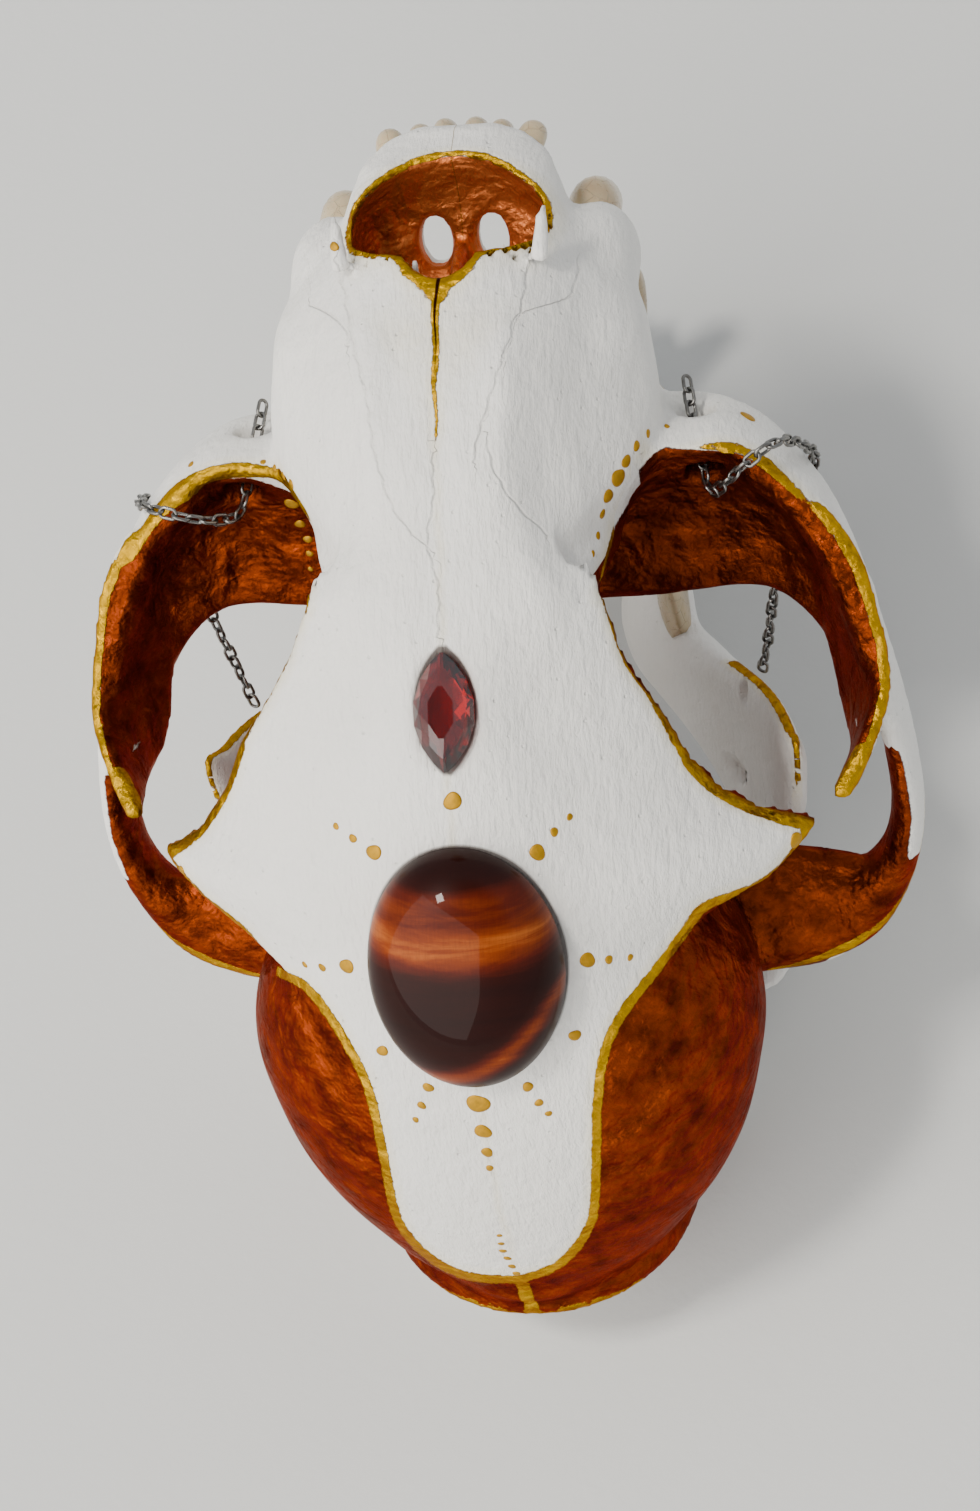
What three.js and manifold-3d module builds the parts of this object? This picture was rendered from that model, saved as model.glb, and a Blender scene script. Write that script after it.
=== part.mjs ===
// Painted bay lynx skull: cranium, two half jaws, 28 teeth, two set stones and two chains.
// Millimetres. The cranium is drawn in its own frame: origin midway between the jaw joints, x to the
// animal's right, y to the nose, z up. The whole skull then stands on its chin and the back of its base.
import * as THREE from 'three';
import { LoftGeometry } from 'three/addons/geometries/LoftGeometry.js';
import { mergeVertices } from 'three/addons/utils/BufferGeometryUtils.js';
import Module from 'manifold-3d';

// Driving dimensions.
const GAPE = 46;                          // degrees that the jaw is open
const NOSE_UP = 43.3;                     // degrees that the cranium leans back on the table
const JAW_JOINT = [-0.4, -3, -3];         // middle of the jaw joints, in the cranium's frame
const ORIGIN_ON_TABLE = [0, -18.55, 27.3]; // where the cranium's origin is, from the middle of the base
const GAP = 0.3;                          // between pieces that touch
const TEMPLE = 27.3;                      // half the width of the braincase
const ARCH = 44.5;                        // half the width over the cheek arches
const BROW_TIP = [33.6, 19, 26.2];        // tip of the bony horn over each eye
const CHEEK_TIP = [36.6, 21.5, 23.4];     // tip of the horn that rises from each cheek arch
const CABOCHON = { width: 19.6, length: 25.6, height: 6.6, centre: [0.2, 12.2, 42.3], lean: -1 };
const GEM = { width: 6.1, length: 11.8, height: 2.1, centre: [0, 38, 39.2], lean: -23 };
const CHAIN_RADIUS = 0.9;

const wasm = await Module();
wasm.setup();

// Solids from three.js geometries, and back.

function pointsOnly(geometry) {
  const bare = new THREE.BufferGeometry();
  bare.setAttribute('position', geometry.attributes.position.clone());
  bare.setIndex(geometry.index);
  return bare;
}

function solid(geometry) {
  const merged = mergeVertices(pointsOnly(geometry), 1e-4);
  const place = merged.attributes.position;
  const corners = [0, 1, 2].map(() => new THREE.Vector3());
  const faces = [];
  let volume = 0;
  for (let face = 0; face < merged.index.count; face += 3) {
    const [a, b, c] = [0, 1, 2].map((side) => merged.index.getX(face + side));
    if (a !== b && b !== c && c !== a) {
      faces.push(a, b, c);
      corners.forEach((corner, side) => corner.fromBufferAttribute(place, [a, b, c][side]));
      volume += corners[0].dot(corners[1].cross(corners[2]));
    }
  }
  if (volume < 0) {
    faces.reverse();
  }
  const vertProperties = Float32Array.from(place.array);
  return new wasm.Manifold(new wasm.Mesh({ numProp: 3, vertProperties, triVerts: Uint32Array.from(faces) }));
}

function geometryOf(body) {
  const { vertProperties, triVerts } = body.getMesh();
  const geometry = new THREE.BufferGeometry();
  geometry.setAttribute('position', new THREE.BufferAttribute(Float32Array.from(vertProperties), 3));
  geometry.setIndex(new THREE.BufferAttribute(Uint32Array.from(triVerts), 1));
  geometry.computeVertexNormals();
  return geometry;
}

function mirrored(geometry) {
  return pointsOnly(geometry).applyMatrix4(new THREE.Matrix4().makeScale(-1, 1, 1));
}

function bothSides(geometry) {
  return [solid(geometry), solid(mirrored(geometry))];
}

function joined(bodies) {
  return bodies.reduce((sum, body) => sum.add(body));
}

// A closed skin through rings of points. Rings that run clockwise, seen from the far end, are turned round.
function loft(rings) {
  const middleOf = (ring) => ring.reduce((sum, point) => sum.add(point), new THREE.Vector3())
    .divideScalar(ring.length);
  const half = Math.floor(rings.length / 2);
  const centre = middleOf(rings[half]);
  const onward = middleOf(rings[rings.length - 1]).sub(middleOf(rings[0]));
  const spin = new THREE.Vector3();
  rings[half].forEach((point, place, ring) => {
    const next = ring[(place + 1) % ring.length];
    spin.add(point.clone().sub(centre).cross(next.clone().sub(centre)));
  });
  const wound = spin.dot(onward) < 0 ? rings.map((ring) => [...ring].reverse()) : rings;
  return new LoftGeometry(wound, { capStart: true, capEnd: true });
}

// A loft through rings across y. Each station is y, half width, top, bottom, and the power of its oval:
// 2 is an ellipse, more is squarer. pinch narrows the top half against the bottom half.
function hull(stations, sides, { x = 0, grow = 0, pinch = 0 } = {}) {
  const rings = stations.map(([y, half, top, bottom, power = 2.3]) => {
    const middle = (top + bottom) / 2;
    const rise = (top - bottom) / 2 + grow;
    const ring = [];
    for (let side = 0; side < sides; side++) {
      const turn = 2 * Math.PI * (side + 0.5) / sides;
      const across = Math.sign(Math.cos(turn)) * Math.abs(Math.cos(turn)) ** (2 / power);
      const up = Math.sign(Math.sin(turn)) * Math.abs(Math.sin(turn)) ** (2 / power);
      const narrowed = (half + grow) * across * (1 - pinch * up);
      ring.push(new THREE.Vector3(x - narrowed, y, middle + rise * up));
    }
    return ring;
  });
  return loft(rings);
}

// A bar along a curve: its ring at each point is an oval that lies across the curve. reach is its half
// size sideways from the curve, level with the ground, and rise is its half size upwards.
function bar(points, sides) {
  const curve = points.map(([x, y, z]) => new THREE.Vector3(x, y, z));
  const rings = points.map(([, , , reach, rise], step) => {
    const before = curve[Math.max(step - 1, 0)];
    const after = curve[Math.min(step + 1, curve.length - 1)];
    const along = after.clone().sub(before).normalize();
    const sideways = new THREE.Vector3().crossVectors(along, new THREE.Vector3(0, 0, 1)).normalize();
    const upwards = new THREE.Vector3().crossVectors(sideways, along).normalize();
    const ring = [];
    for (let side = 0; side < sides; side++) {
      const turn = 2 * Math.PI * (side + 0.5) / sides;
      ring.push(curve[step].clone()
        .addScaledVector(sideways, reach * Math.cos(turn))
        .addScaledVector(upwards, rise * Math.sin(turn)));
    }
    return ring;
  });
  return loft(rings);
}

function ball([x, y, z], [a, b, c], across = 12, up = 8) {
  return new THREE.SphereGeometry(1, across, up).scale(a, b, c).translate(x, y, z);
}

// A round bore or pin between two points.
function rod(from, to, radius, sides = 10) {
  const start = new THREE.Vector3(...from);
  const end = new THREE.Vector3(...to);
  const reach = end.clone().sub(start);
  const geometry = new THREE.CylinderGeometry(radius, radius, reach.length(), sides);
  geometry.applyQuaternion(new THREE.Quaternion().setFromUnitVectors(
    new THREE.Vector3(0, 1, 0), reach.normalize()));
  return geometry.translate((from[0] + to[0]) / 2, (from[1] + to[1]) / 2, (from[2] + to[2]) / 2);
}

// Cranium, as grown: one bone.

function muzzle() {
  return hull([
    [45, 14.0, 36.6, 4, 2.6],
    [50, 16.0, 34.0, 1, 2.4],
    [54, 18.6, 32.4, -1, 2.3],
    [58, 19.4, 31.2, -1.5, 2.2],
    [64, 19.4, 28.4, -1.8, 2.2],
    [70, 18.8, 24.4, -2, 2.2],
    [74, 16.8, 20.9, -2.2, 2.3],
    [77.4, 12.8, 18.2, -2.4, 2.4],
    [81, 10.4, 14.6, -2.5, 2.5],
    [84.4, 8.2, 5.4, -2.6, 2.6],
    [86.0, 6.6, 1.4, -2.4, 2.6],
  ], 18, { pinch: 0.2 });
}

// The swelling over each upper canine's root.
function canineSwelling() {
  return ball([13.6, 73.8, 1.8], [4.3, 5.4, 7.4], 8, 6);
}

function sphenoid() {
  return hull([
    [-4, 16, 36, -2, 2.4],
    [8, 16.5, 37, -1, 2.4],
    [16, 15.6, 37, 0, 2.6],
    [24, 13.4, 37, 1.5, 2.8],
    [32, 12.2, 37, 2, 3],
    [40, 12.6, 36.5, 1, 3],
    [48, 14.4, 34.4, 0, 2.8],
  ], 10);
}

function braincase() {
  return hull([
    [-37.2, 6.5, 24.6, 4, 2.2],
    [-34, 13.2, 27.4, -1, 2.2],
    [-28, 19.2, 31.4, -4, 2.2],
    [-20, 23.8, 36.0, -5, 2.2],
    [-12, TEMPLE - 1.2, 39.2, -5, 2.2],
    [-5, TEMPLE - 0.2, 41.0, -4.4, 2.2],
    [2, TEMPLE - 1.4, 42.0, -3.6, 2.3],
    [10, 21.6, 42.2, -2, 2.4],
    [18, 17.6, 41.6, 0, 2.6],
  ], 18);
}

// The forehead's roof. Each station is y, half width at the edge, height on the midline and at the edge,
// and the thickness of the edge.
function brow() {
  const [tipX, tipY, tipZ] = BROW_TIP;
  const stations = [
    [54, 13.4, 32.6, 25.6, 3.2],
    [50, 14.0, 34.2, 28.0, 3.2],
    [46, 14.8, 36.0, 29.6, 3.0],
    [42, 15.6, 37.6, 30.2, 2.6],
    [37, 18.2, 39.4, 30.4, 2.4],
    [32, 21.0, 40.8, 29.8, 2.2],
    [27, 24.2, 41.6, 28.8, 2.2],
    [23.4, 27.6, 42.0, 27.8, 2.0],
    [21, 30.6, 42.2, 27.0, 1.8],
    [tipY, tipX, 42.3, tipZ, 1.6],
    [16.6, 31.6, 42.3, 27.2, 1.8],
    [13.6, 27.2, 42.3, 29.8, 2.2],
    [11.2, 22.4, 42.2, 32.6, 2.6],
    [7, 18.2, 42.0, 35.2, 2.6],
    [1, 14.0, 41.4, 37.6, 2.6],
    [-6, 12.0, 40.6, 37.6, 2.6],
  ];
  const shares = [1, 0.74, 0.4, 0];
  const rings = stations.map(([y, edge, ridge, rim, thick]) => {
    const top = (share) => ridge - (ridge - rim) * share ** 2.1;
    const under = (share) => top(share) - thick - 5 * (1 - share) ** 1.4;
    const right = shares.map((share) => new THREE.Vector3(edge * share, y, top(share)));
    const left = shares.slice(0, -1).reverse()
      .map((share) => new THREE.Vector3(-edge * share, y, top(share)));
    const below = [-0.98, -0.4, 0.4, 0.98]
      .map((share) => new THREE.Vector3(edge * share, y, under(Math.abs(share))));
    return [...right, ...left, ...below];
  });
  return loft(rings);
}

// The bony palate with the sockets' ridge round it.
function palate() {
  return hull([
    [36.4, 17.5, 3.6, -0.6, 4],
    [39, 21.2, 5, -1.4, 4],
    [44, 22.6, 6, -1.6, 4],
    [50, 22.0, 7, -1.6, 4],
    [57, 19.4, 8, -1.8, 4],
    [66, 17.2, 8, -2, 4],
    [74, 16.4, 8, -2.2, 3.4],
    [78, 12.6, 7, -2.6, 3],
    [82, 9.0, 5, -2.8, 3],
  ], 10);
}

// The floor of the orbit and the root of the cheek arch: profiles in y and z, one beside the other in x.
// Each is x, front edge, rear edge, rim height, floor height at the rear edge, and underside.
function cheekRoot() {
  const profiles = [
    [11, 55.6, 36.4, 16.5, 4.5, -0.8],
    [17, 56.6, 36.0, 16.0, 4.0, -1.0],
    [22, 57.2, 36.0, 14.8, 3.8, -0.6],
    [26.4, 57.0, 36.4, 14.4, 3.8, 1.8],
    [30.4, 54.6, 35.6, 14.4, 4.4, 2.4],
    [34, 50.0, 32.8, 14.6, 6.0, 2.8],
    [37, 43.6, 29.6, 14.8, 8.6, 3.6],
  ];
  const rings = profiles.map(([x, front, rear, rim, floor, under]) => [
    [front, under + 2],
    [front - 0.2, rim - 2.5],
    [front - 1.4, rim],
    [front - 3.6, rim - 0.8],
    [(front + rear) / 2, (rim + floor) / 2 - 1.0],
    [rear, floor - 0.2],
    [rear + 0.3, floor - 1.8],
    [(front + rear) / 2, under],
    [front - 2, under],
  ].map(([y, z]) => new THREE.Vector3(x, y, z)));
  return loft(rings);
}

// The cheek arch: x, y, z of its middle, then half its thickness and half its height.
function cheekArch() {
  return bar([
    [29.6, 52.0, 8.6, 2.6, 5.6],
    [33.6, 48.2, 8.8, 2.3, 5.8],
    [36.8, 41.8, 9.2, 2.0, 5.8],
    [39.2, 34.0, 9.6, 1.8, 5.6],
    [41.2, 27.0, 9.4, 1.7, 5.4],
    [42.3, 20.0, 8.6, 1.7, 4.6],
    [ARCH - 1.8, 13.0, 7.4, 1.8, 4.0],
    [ARCH - 2.7, 7.0, 6.2, 2.2, 3.6],
    [38.6, 2.4, 5.4, 3.6, 3.0],
    [33.5, 0.6, 5.2, 6.2, 2.7],
    [27.5, 0.4, 5.8, 7.4, 3.0],
    [20.0, 0.4, 7.0, 7.6, 3.6],
  ], 8);
}

// The horn of the cheek arch that rises to the brow, with a ligament's gap between their tips.
function cheekHorn() {
  const [tipX, tipY, tipZ] = CHEEK_TIP;
  const rows = [
    [40.6, 29.0, 10.0, 1.5, 6.0],
    [40.2, 28.0, 14.5, 1.4, 4.4],
    [39.2, 26.0, 17.6, 1.3, 3.0],
    [38.2, 23.6, 20.8, 1.2, 2.1],
    [tipX, tipY, tipZ, 0.8, 1.2],
  ];
  const rings = rows.map(([x, y, z, thin, wide]) => {
    const ring = [];
    for (let side = 0; side < 8; side++) {
      const turn = 2 * Math.PI * side / 8;
      ring.push(new THREE.Vector3(x - thin * Math.cos(turn), y - wide * Math.sin(turn), z));
    }
    return ring;
  });
  return loft(rings);
}

// The crescent crest at the back of the head: a thin fin that leans back over the neck.
function nuchalCrest() {
  const rings = [];
  for (let step = 0; step <= 8; step++) {
    const turn = Math.PI * (step / 8);
    const x = 15.9 * Math.cos(turn);
    const reach = Math.sin(turn);
    const z = 5 + 17.4 * reach ** 0.8;
    const back = -31.5 - 8.4 * reach ** 0.6;
    rings.push([
      new THREE.Vector3(x, back + 8, z - 3 * reach - 1),
      new THREE.Vector3(x, back + 7.2, z + 3.4 * reach + 0.6),
      new THREE.Vector3(x, back + 1.2, z + 1.0 * reach + 0.3),
      new THREE.Vector3(x, back, z - 0.4),
      new THREE.Vector3(x, back + 1.0, z - 1.8 * reach - 0.8),
    ]);
  }
  return loft(rings);
}

// Under the braincase: the knobs that carry the neck, the ear's bony bubbles with the horns behind them,
// the knobs behind the ears, the heels of the jaw joints and the wings behind the palate.
function base() {
  const condyle = ball([7.4, -32.6, 0.6], [4.8, 4.2, 6.0], 8, 6);
  const bulla = ball([14.0, -17.5, -6.2], [8.0, 11.0, 8.0], 10, 6);
  const neckHorn = bar([
    [19.0, -26.0, 4.0, 3.4, 3.0],
    [18.4, -28.0, -3.0, 3.0, 2.6],
    [17.4, -28.2, -9.6, 2.0, 1.8],
  ], 7);
  const mastoid = ball([20.4, -22.4, -0.6], [3.8, 6.0, 5.4], 8, 6);
  const jointHeel = bar([
    [23.0, -6.2, 1.6, 2.2, 4.4],
    [29.0, -6.3, 1.0, 1.9, 4.4],
    [34.6, -5.4, 2.4, 1.4, 3.2],
  ], 7);
  const wing = hull([
    [6, 1.3, 4, -6.4, 2.6],
    [22, 1.1, 5, -4.4, 2.6],
    [37, 1.2, 4, -1.6, 2.6],
  ], 8, { x: 7.6 });
  return [condyle, bulla, neckHorn, mastoid, jointHeel, wing].flatMap(bothSides);
}

// What is hollow or bored in the cranium.

function nasalCavity() {
  return hull([
    [51, 4.4, 27.6, 12, 2.4],
    [58, 7.4, 28.6, 5, 2.4],
    [64, 9.6, 26.2, 3.4, 2.5],
    [70, 10.6, 22.6, 2.2, 2.6],
    [75, 10.4, 18.4, 1.4, 2.7],
    [78, 10.0, 19.0, 1.4, 2.6],
    [81, 9.0, 24.0, 2.2, 2.4],
    [84.2, 7.0, 28.0, 4.4, 2.2],
    [92, 9.0, 34.0, 7.4, 2.2],
  ], 12, { pinch: 0.1 });
}

function noseSlit() {
  const outline = new THREE.Shape([
    new THREE.Vector2(-0.9, 80),
    new THREE.Vector2(0.9, 80),
    new THREE.Vector2(0.5, 72),
    new THREE.Vector2(0.15, 60),
    new THREE.Vector2(-0.15, 60),
    new THREE.Vector2(-0.5, 72),
  ]);
  return new THREE.ExtrudeGeometry(outline, { depth: 26, bevelEnabled: false }).translate(0, 0, 14);
}

function bores() {
  const palatePair = bothSides(new THREE.CylinderGeometry(1, 1, 12, 10)
    .rotateX(Math.PI / 2)
    .scale(1.5, 2.6, 1)
    .translate(2.95, 74.4, 1));
  const cheekPair = bothSides(rod([22.2, 60.5, 4.2], [24.7, 48.4, 12.8], 1.9, 8));
  const [, jointY, jointZ] = JAW_JOINT;
  const joints = bothSides(rod([21.0, jointY + 0.6, jointZ], [41, jointY + 0.6, jointZ], 4.4, 12));
  const neck = solid(new THREE.CylinderGeometry(1, 1, 12, 12).scale(6.2, 1, 5.2).translate(0, -36.0, 6.4));
  return [...palatePair, ...cheekPair, ...joints, neck];
}

// Set stones.

function cabochonBody(grow) {
  const half = CABOCHON.width / 2 + grow;
  const outline = [new THREE.Vector2(0, -1.4 - grow), new THREE.Vector2(half * 0.96, -1.4 - grow)];
  for (let step = 0; step <= 4; step++) {
    const turn = (Math.PI / 2) * (step / 4);
    const across = step === 4 ? 0 : Math.cos(turn) ** 0.8;
    outline.push(new THREE.Vector2(half * across, (CABOCHON.height + grow) * Math.sin(turn)));
  }
  return new THREE.LatheGeometry(outline, 20)
    .rotateX(Math.PI / 2)
    .scale(1, CABOCHON.length / CABOCHON.width, 1)
    .rotateX(THREE.MathUtils.degToRad(CABOCHON.lean))
    .translate(...CABOCHON.centre);
}

function gemBody(grow) {
  const levels = [[-1.3 - grow, 0.72], [0, 1], [0.35, 1], [GEM.height + grow, 0.5]];
  const rings = levels.map(([z, share]) => {
    const ring = [];
    for (let side = 0; side < 12; side++) {
      const turn = 2 * Math.PI * side / 12;
      const y = -Math.sin(turn);
      const x = Math.sign(Math.cos(turn)) * (1 - y * y) ** 0.85;
      const across = x * (GEM.width / 2 + grow) * share;
      const along = y * (GEM.length / 2 + grow) * share;
      ring.push(new THREE.Vector3(across, along, z));
    }
    return ring;
  });
  return loft(rings)
    .rotateX(THREE.MathUtils.degToRad(GEM.lean))
    .translate(...GEM.centre);
}

// Teeth. A peg is a round tooth on a curve from its root to its tip. A blade is a cheek tooth: stations
// along the jaw of y, crown edge and half thickness, with a root that stands in the socket.

function peg(points, grow, sides = 6) {
  const bend = points.map(([x, y, z]) => new THREE.Vector3(x, y, z));
  if (grow > 0) {
    bend[0].addScaledVector(bend[0].clone().sub(bend[1]).normalize(), grow);
  }
  const rings = points.map(([, , , wide, long], step) => {
    const ring = [];
    for (let side = 0; side < sides; side++) {
      const turn = 2 * Math.PI * side / sides;
      ring.push(bend[step].clone().add(
        new THREE.Vector3((wide + grow) * Math.cos(turn), (long + grow) * Math.sin(turn), 0)));
    }
    return ring;
  });
  return loft(rings);
}

function blade(stations, { gum, root, down = 1 }, grow) {
  const last = stations.length - 1;
  const rings = stations.map(([x, y, edge, thick], step) => {
    const end = step === 0 ? 1 : step === last ? -1 : 0;
    const outY = y + grow * end * Math.sign(stations[0][1] - stations[last][1]);
    const levels = [
      [gum + down * (root + grow), 0.55],
      [gum, 1],
      [gum - down * Math.abs(edge - gum) * 0.45, 0.86],
      [edge, 0.16],
    ];
    const wall = (sign) => levels.map(([z, share]) =>
      new THREE.Vector3(x + sign * (thick + grow) * share, outY, z));
    return [...wall(1), ...wall(-1).reverse()];
  });
  return loft(rings);
}

const upperTeeth = {
  incisor_1: (grow) => peg([
    [1.6, 84.0, 0.6, 0.8, 1.0], [1.6, 84.7, -2.8, 1.1, 1.1], [1.6, 84.4, -6.0, 0.9, 0.5],
  ], grow),
  incisor_2: (grow) => peg([
    [4.2, 83.4, 0.6, 0.8, 1.0], [4.2, 84.1, -2.8, 1.1, 1.1], [4.2, 83.8, -6.4, 0.9, 0.5],
  ], grow),
  incisor_3: (grow) => peg([
    [6.7, 81.4, 0.8, 1.0, 1.2], [6.9, 82.6, -2.6, 1.4, 1.5], [7.0, 82.6, -5.0, 1.2, 1.2],
    [6.9, 81.6, -7.8, 0.4, 0.5],
  ], grow),
  canine: (grow) => peg([
    [12.4, 72.0, 4.0, 1.8, 2.4], [12.9, 75.2, -2.2, 2.7, 3.5], [13.2, 75.6, -6.4, 2.4, 3.0],
    [13.4, 74.6, -11.0, 1.7, 2.0], [13.4, 72.6, -15.6, 0.4, 0.5],
  ], grow, 8),
  premolar_3: (grow) => blade([
    [16.2, 67.4, -3.6, 1.3], [16.4, 66.2, -4.2, 1.8], [16.8, 63.4, -8.0, 2.0], [17.4, 60.8, -4.8, 1.9],
    [17.8, 58.8, -3.6, 1.4],
  ], { gum: -1.6, root: 3 }, grow),
  premolar_4: (grow) => blade([
    [17.9, 57.6, -3.4, 1.6], [18.2, 56.2, -5.0, 2.6], [18.8, 53.2, -9.6, 2.4], [19.6, 49.2, -6.2, 2.1],
    [20.4, 46.0, -7.0, 2.0], [21.0, 43.2, -3.6, 1.6],
  ], { gum: -1.4, root: 3 }, grow),
  molar_1: (grow) => peg([
    [18.4, 40.2, 1.6, 1.6, 1.0], [18.4, 40.2, -1.4, 2.7, 1.4], [18.4, 40.2, -3.4, 2.2, 0.9],
  ], grow),
};

// Lower teeth, in the jaw's frame: origin midway between the jaw joints, with the jaw shut.
const lowerTeeth = {
  incisor_1: (grow) => peg([
    [1.4, 78.6, -8.0, 0.7, 0.9], [1.4, 80.4, -4.8, 0.9, 1.1], [1.4, 81.4, -1.8, 0.8, 0.5],
  ], grow),
  incisor_2: (grow) => peg([
    [3.6, 78.4, -8.0, 0.7, 0.9], [3.6, 80.2, -4.8, 1.0, 1.1], [3.6, 81.2, -1.6, 0.9, 0.5],
  ], grow),
  incisor_3: (grow) => peg([
    [5.9, 77.8, -8.0, 0.8, 0.9], [6.0, 79.4, -4.8, 1.1, 1.2], [6.1, 80.4, -1.4, 1.0, 0.6],
  ], grow),
  canine: (grow) => peg([
    [7.6, 71.4, -11.0, 1.6, 2.2], [8.6, 74.8, -5.4, 2.4, 3.2], [9.8, 76.8, -1.0, 2.1, 2.7],
    [10.6, 77.8, 4.0, 1.4, 1.7], [10.9, 77.0, 8.8, 0.4, 0.4],
  ], grow, 8),
  premolar_3: (grow) => blade([
    [11.2, 63.8, -3.2, 1.2], [11.6, 62.4, -2.2, 1.6], [12.4, 60.0, 1.0, 1.7], [13.0, 57.6, -2.2, 1.6],
    [13.3, 56.4, -3.2, 1.2],
  ], { gum: -5.2, root: 3, down: -1 }, grow),
  premolar_4: (grow) => blade([
    [13.6, 55.4, -2.6, 1.3], [13.9, 53.8, -1.4, 1.8], [14.4, 51.0, 2.6, 1.8], [14.9, 48.2, -1.2, 1.8],
    [15.2, 46.6, -2.6, 1.4],
  ], { gum: -5.0, root: 3, down: -1 }, grow),
  molar_1: (grow) => blade([
    [14.4, 45.6, -2.4, 1.5], [14.6, 43.6, 2.2, 1.9], [14.9, 41.2, -0.8, 1.9], [15.3, 38.2, 3.4, 1.9],
    [15.8, 35.8, -1.0, 1.6], [16.1, 34.6, -2.8, 1.2],
  ], { gum: -4.6, root: 3, down: -1 }, grow),
};

// A half jaw, in the jaw's frame. Each station is y, middle x, half thickness, top and bottom. Behind the
// chin, what is above the joint leans outwards and the lower border leans in under the tongue.
const RAMUS_LEAN = 0.13;
const BORDER_LEAN = 0.4;

function halfJaw() {
  const stations = [
    [80.6, 4.6, 3.4, -5.4, -9.6],
    [78, 5.0, 5.2, -5.2, -13.6],
    [74, 5.4, 6.2, -5.2, -18.2],
    [69, 6.2, 6.6, -5.2, -20.2],
    [64, 8.8, 5.0, -5.2, -20.0],
    [59, 11.6, 3.7, -5.2, -19.2],
    [51, 13.8, 3.4, -5.0, -18.4],
    [43, 15.0, 3.2, -4.6, -17.8],
    [36, 16.8, 3.0, -4.0, -17.0],
    [31.4, 19.4, 2.8, -0.4, -16.2],
    [26.2, 22.0, 2.2, 6.0, -15.2],
    [21.4, 24.2, 1.9, 12.0, -14.4],
    [16.6, 25.8, 1.7, 17.6, -13.6],
    [11.4, 27.1, 1.6, 22.0, -12.8],
    [7.0, 27.9, 1.4, 24.2, -12.0],
    [5.2, 28.2, 1.3, 18.0, -11.6],
    [3.8, 28.6, 1.3, 7.0, -11.4],
    [0, 29.0, 1.3, 1.0, -11.0],
    [-3.0, 28.4, 1.1, -7.8, -11.2],
  ];
  const rings = stations.map(([y, x, half, top, bottom]) => {
    const levels = [0, 0.1, 0.5, 0.86, 1];
    const swell = [0.55, 0.92, 1, 0.9, 0.5];
    const at = (level) => bottom + (top - bottom) * level;
    const behindTeeth = THREE.MathUtils.clamp((40 - y) / 10, 0, 1);
    const beforeJoint = THREE.MathUtils.clamp((y + 8) / 20, 0, 1);
    const behindChin = THREE.MathUtils.clamp((66 - y) / 24, 0, 1) * beforeJoint;
    const lean = (z) => RAMUS_LEAN * Math.max(z + 6, 0) * behindTeeth
      + BORDER_LEAN * Math.min(z + 4, 0) * behindChin;
    const side = (sign) => levels.map((level, row) =>
      new THREE.Vector3(x + lean(at(level)) + sign * half * swell[row], y, at(level)));
    return [...side(1), ...side(-1).reverse()];
  });
  const plate = solid(loft(rings));
  const condyle = solid(rod([22.4, 0, 0], [37.6, 0, 0], 3.2, 10));
  const neck = solid(ball([29.2, 0.8, -4.4], [4.2, 3.0, 4.6], 8, 6));
  const middle = solid(new THREE.BoxGeometry(20, 60, 60).translate(GAP / 2 - 10, 70, 0));
  const chainHole = solid(rod([15, 21.4, 8.4], [40, 21.4, 8.4], 1.1, 8));
  return plate.add(condyle).add(neck).subtract(middle).subtract(chainHole);
}

// The chains' routes, in the cranium's frame: from the front of the bore in the cheek, through it into
// the orbit, over the orbit's rim, round under the cheek root, and back to the half jaw.
const chainRoutes = {
  right: [
    [22.1, 59.8, 4.4], [22.6, 57.0, 6.6], [23.6, 53.0, 9.6], [24.4, 50.4, 12.2], [25.6, 51.0, 14.0],
    [27.6, 53.2, 15.7], [29.6, 55.1, 16.5], [31.6, 56.3, 16.2], [33.2, 56.1, 13.8], [34.3, 54.3, 10.2],
    [35.1, 52.1, 6.0], [34.8, 49.6, 2.0], [33.2, 45.6, 0.8], [31.2, 40.4, 0.4], [29.3, 34.4, -0.4],
    [28.0, 27.6, -5.4], [27.0, 23.2, -8.6],
  ],
  left: [
    [-22.1, 59.4, 4.6], [-22.6, 56.8, 6.8], [-23.4, 52.8, 9.8], [-24.2, 50.0, 12.2], [-25.6, 50.0, 14.2],
    [-27.8, 50.9, 15.9], [-30.0, 52.2, 16.5], [-32.0, 53.2, 15.8], [-33.8, 53.2, 13.4], [-35.2, 52.0, 9.8],
    [-35.9, 50.8, 6.0], [-35.5, 48.4, 2.0], [-34.0, 44.4, 0.8], [-32.8, 39.6, 0.4], [-31.6, 33.2, -0.6],
    [-30.6, 28.0, -2.6], [-29.7, 23.4, -4.2],
  ],
};

function chainBody(route) {
  const curve = new THREE.CatmullRomCurve3(route.map((point) => new THREE.Vector3(...point)));
  const outline = new THREE.Shape();
  for (let side = 0; side < 8; side++) {
    const turn = 2 * Math.PI * side / 8;
    const corner = [CHAIN_RADIUS * Math.cos(turn), CHAIN_RADIUS * Math.sin(turn)];
    if (side === 0) {
      outline.moveTo(...corner);
    } else {
      outline.lineTo(...corner);
    }
  }
  outline.closePath();
  return new THREE.ExtrudeGeometry(outline, { steps: 28, bevelEnabled: false, extrudePath: curve });
}

// Finishes.

const whitePaint = { color: 0xe6e2da, roughness: 0.55, metalness: 0 };
const enamel = { color: 0xd9c9a4, roughness: 0.35, metalness: 0 };
const garnet = { color: 0x6e0f12, roughness: 0.1, metalness: 0 };
const tigerEye = { color: 0x5a1a10, roughness: 0.12, metalness: 0 };
const steel = { color: 0x6e6e70, roughness: 0.35, metalness: 0.9 };

function piece(name, geometry, finish) {
  const mesh = new THREE.Mesh(geometry, new THREE.MeshStandardMaterial(finish));
  mesh.name = name;
  return mesh;
}

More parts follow.
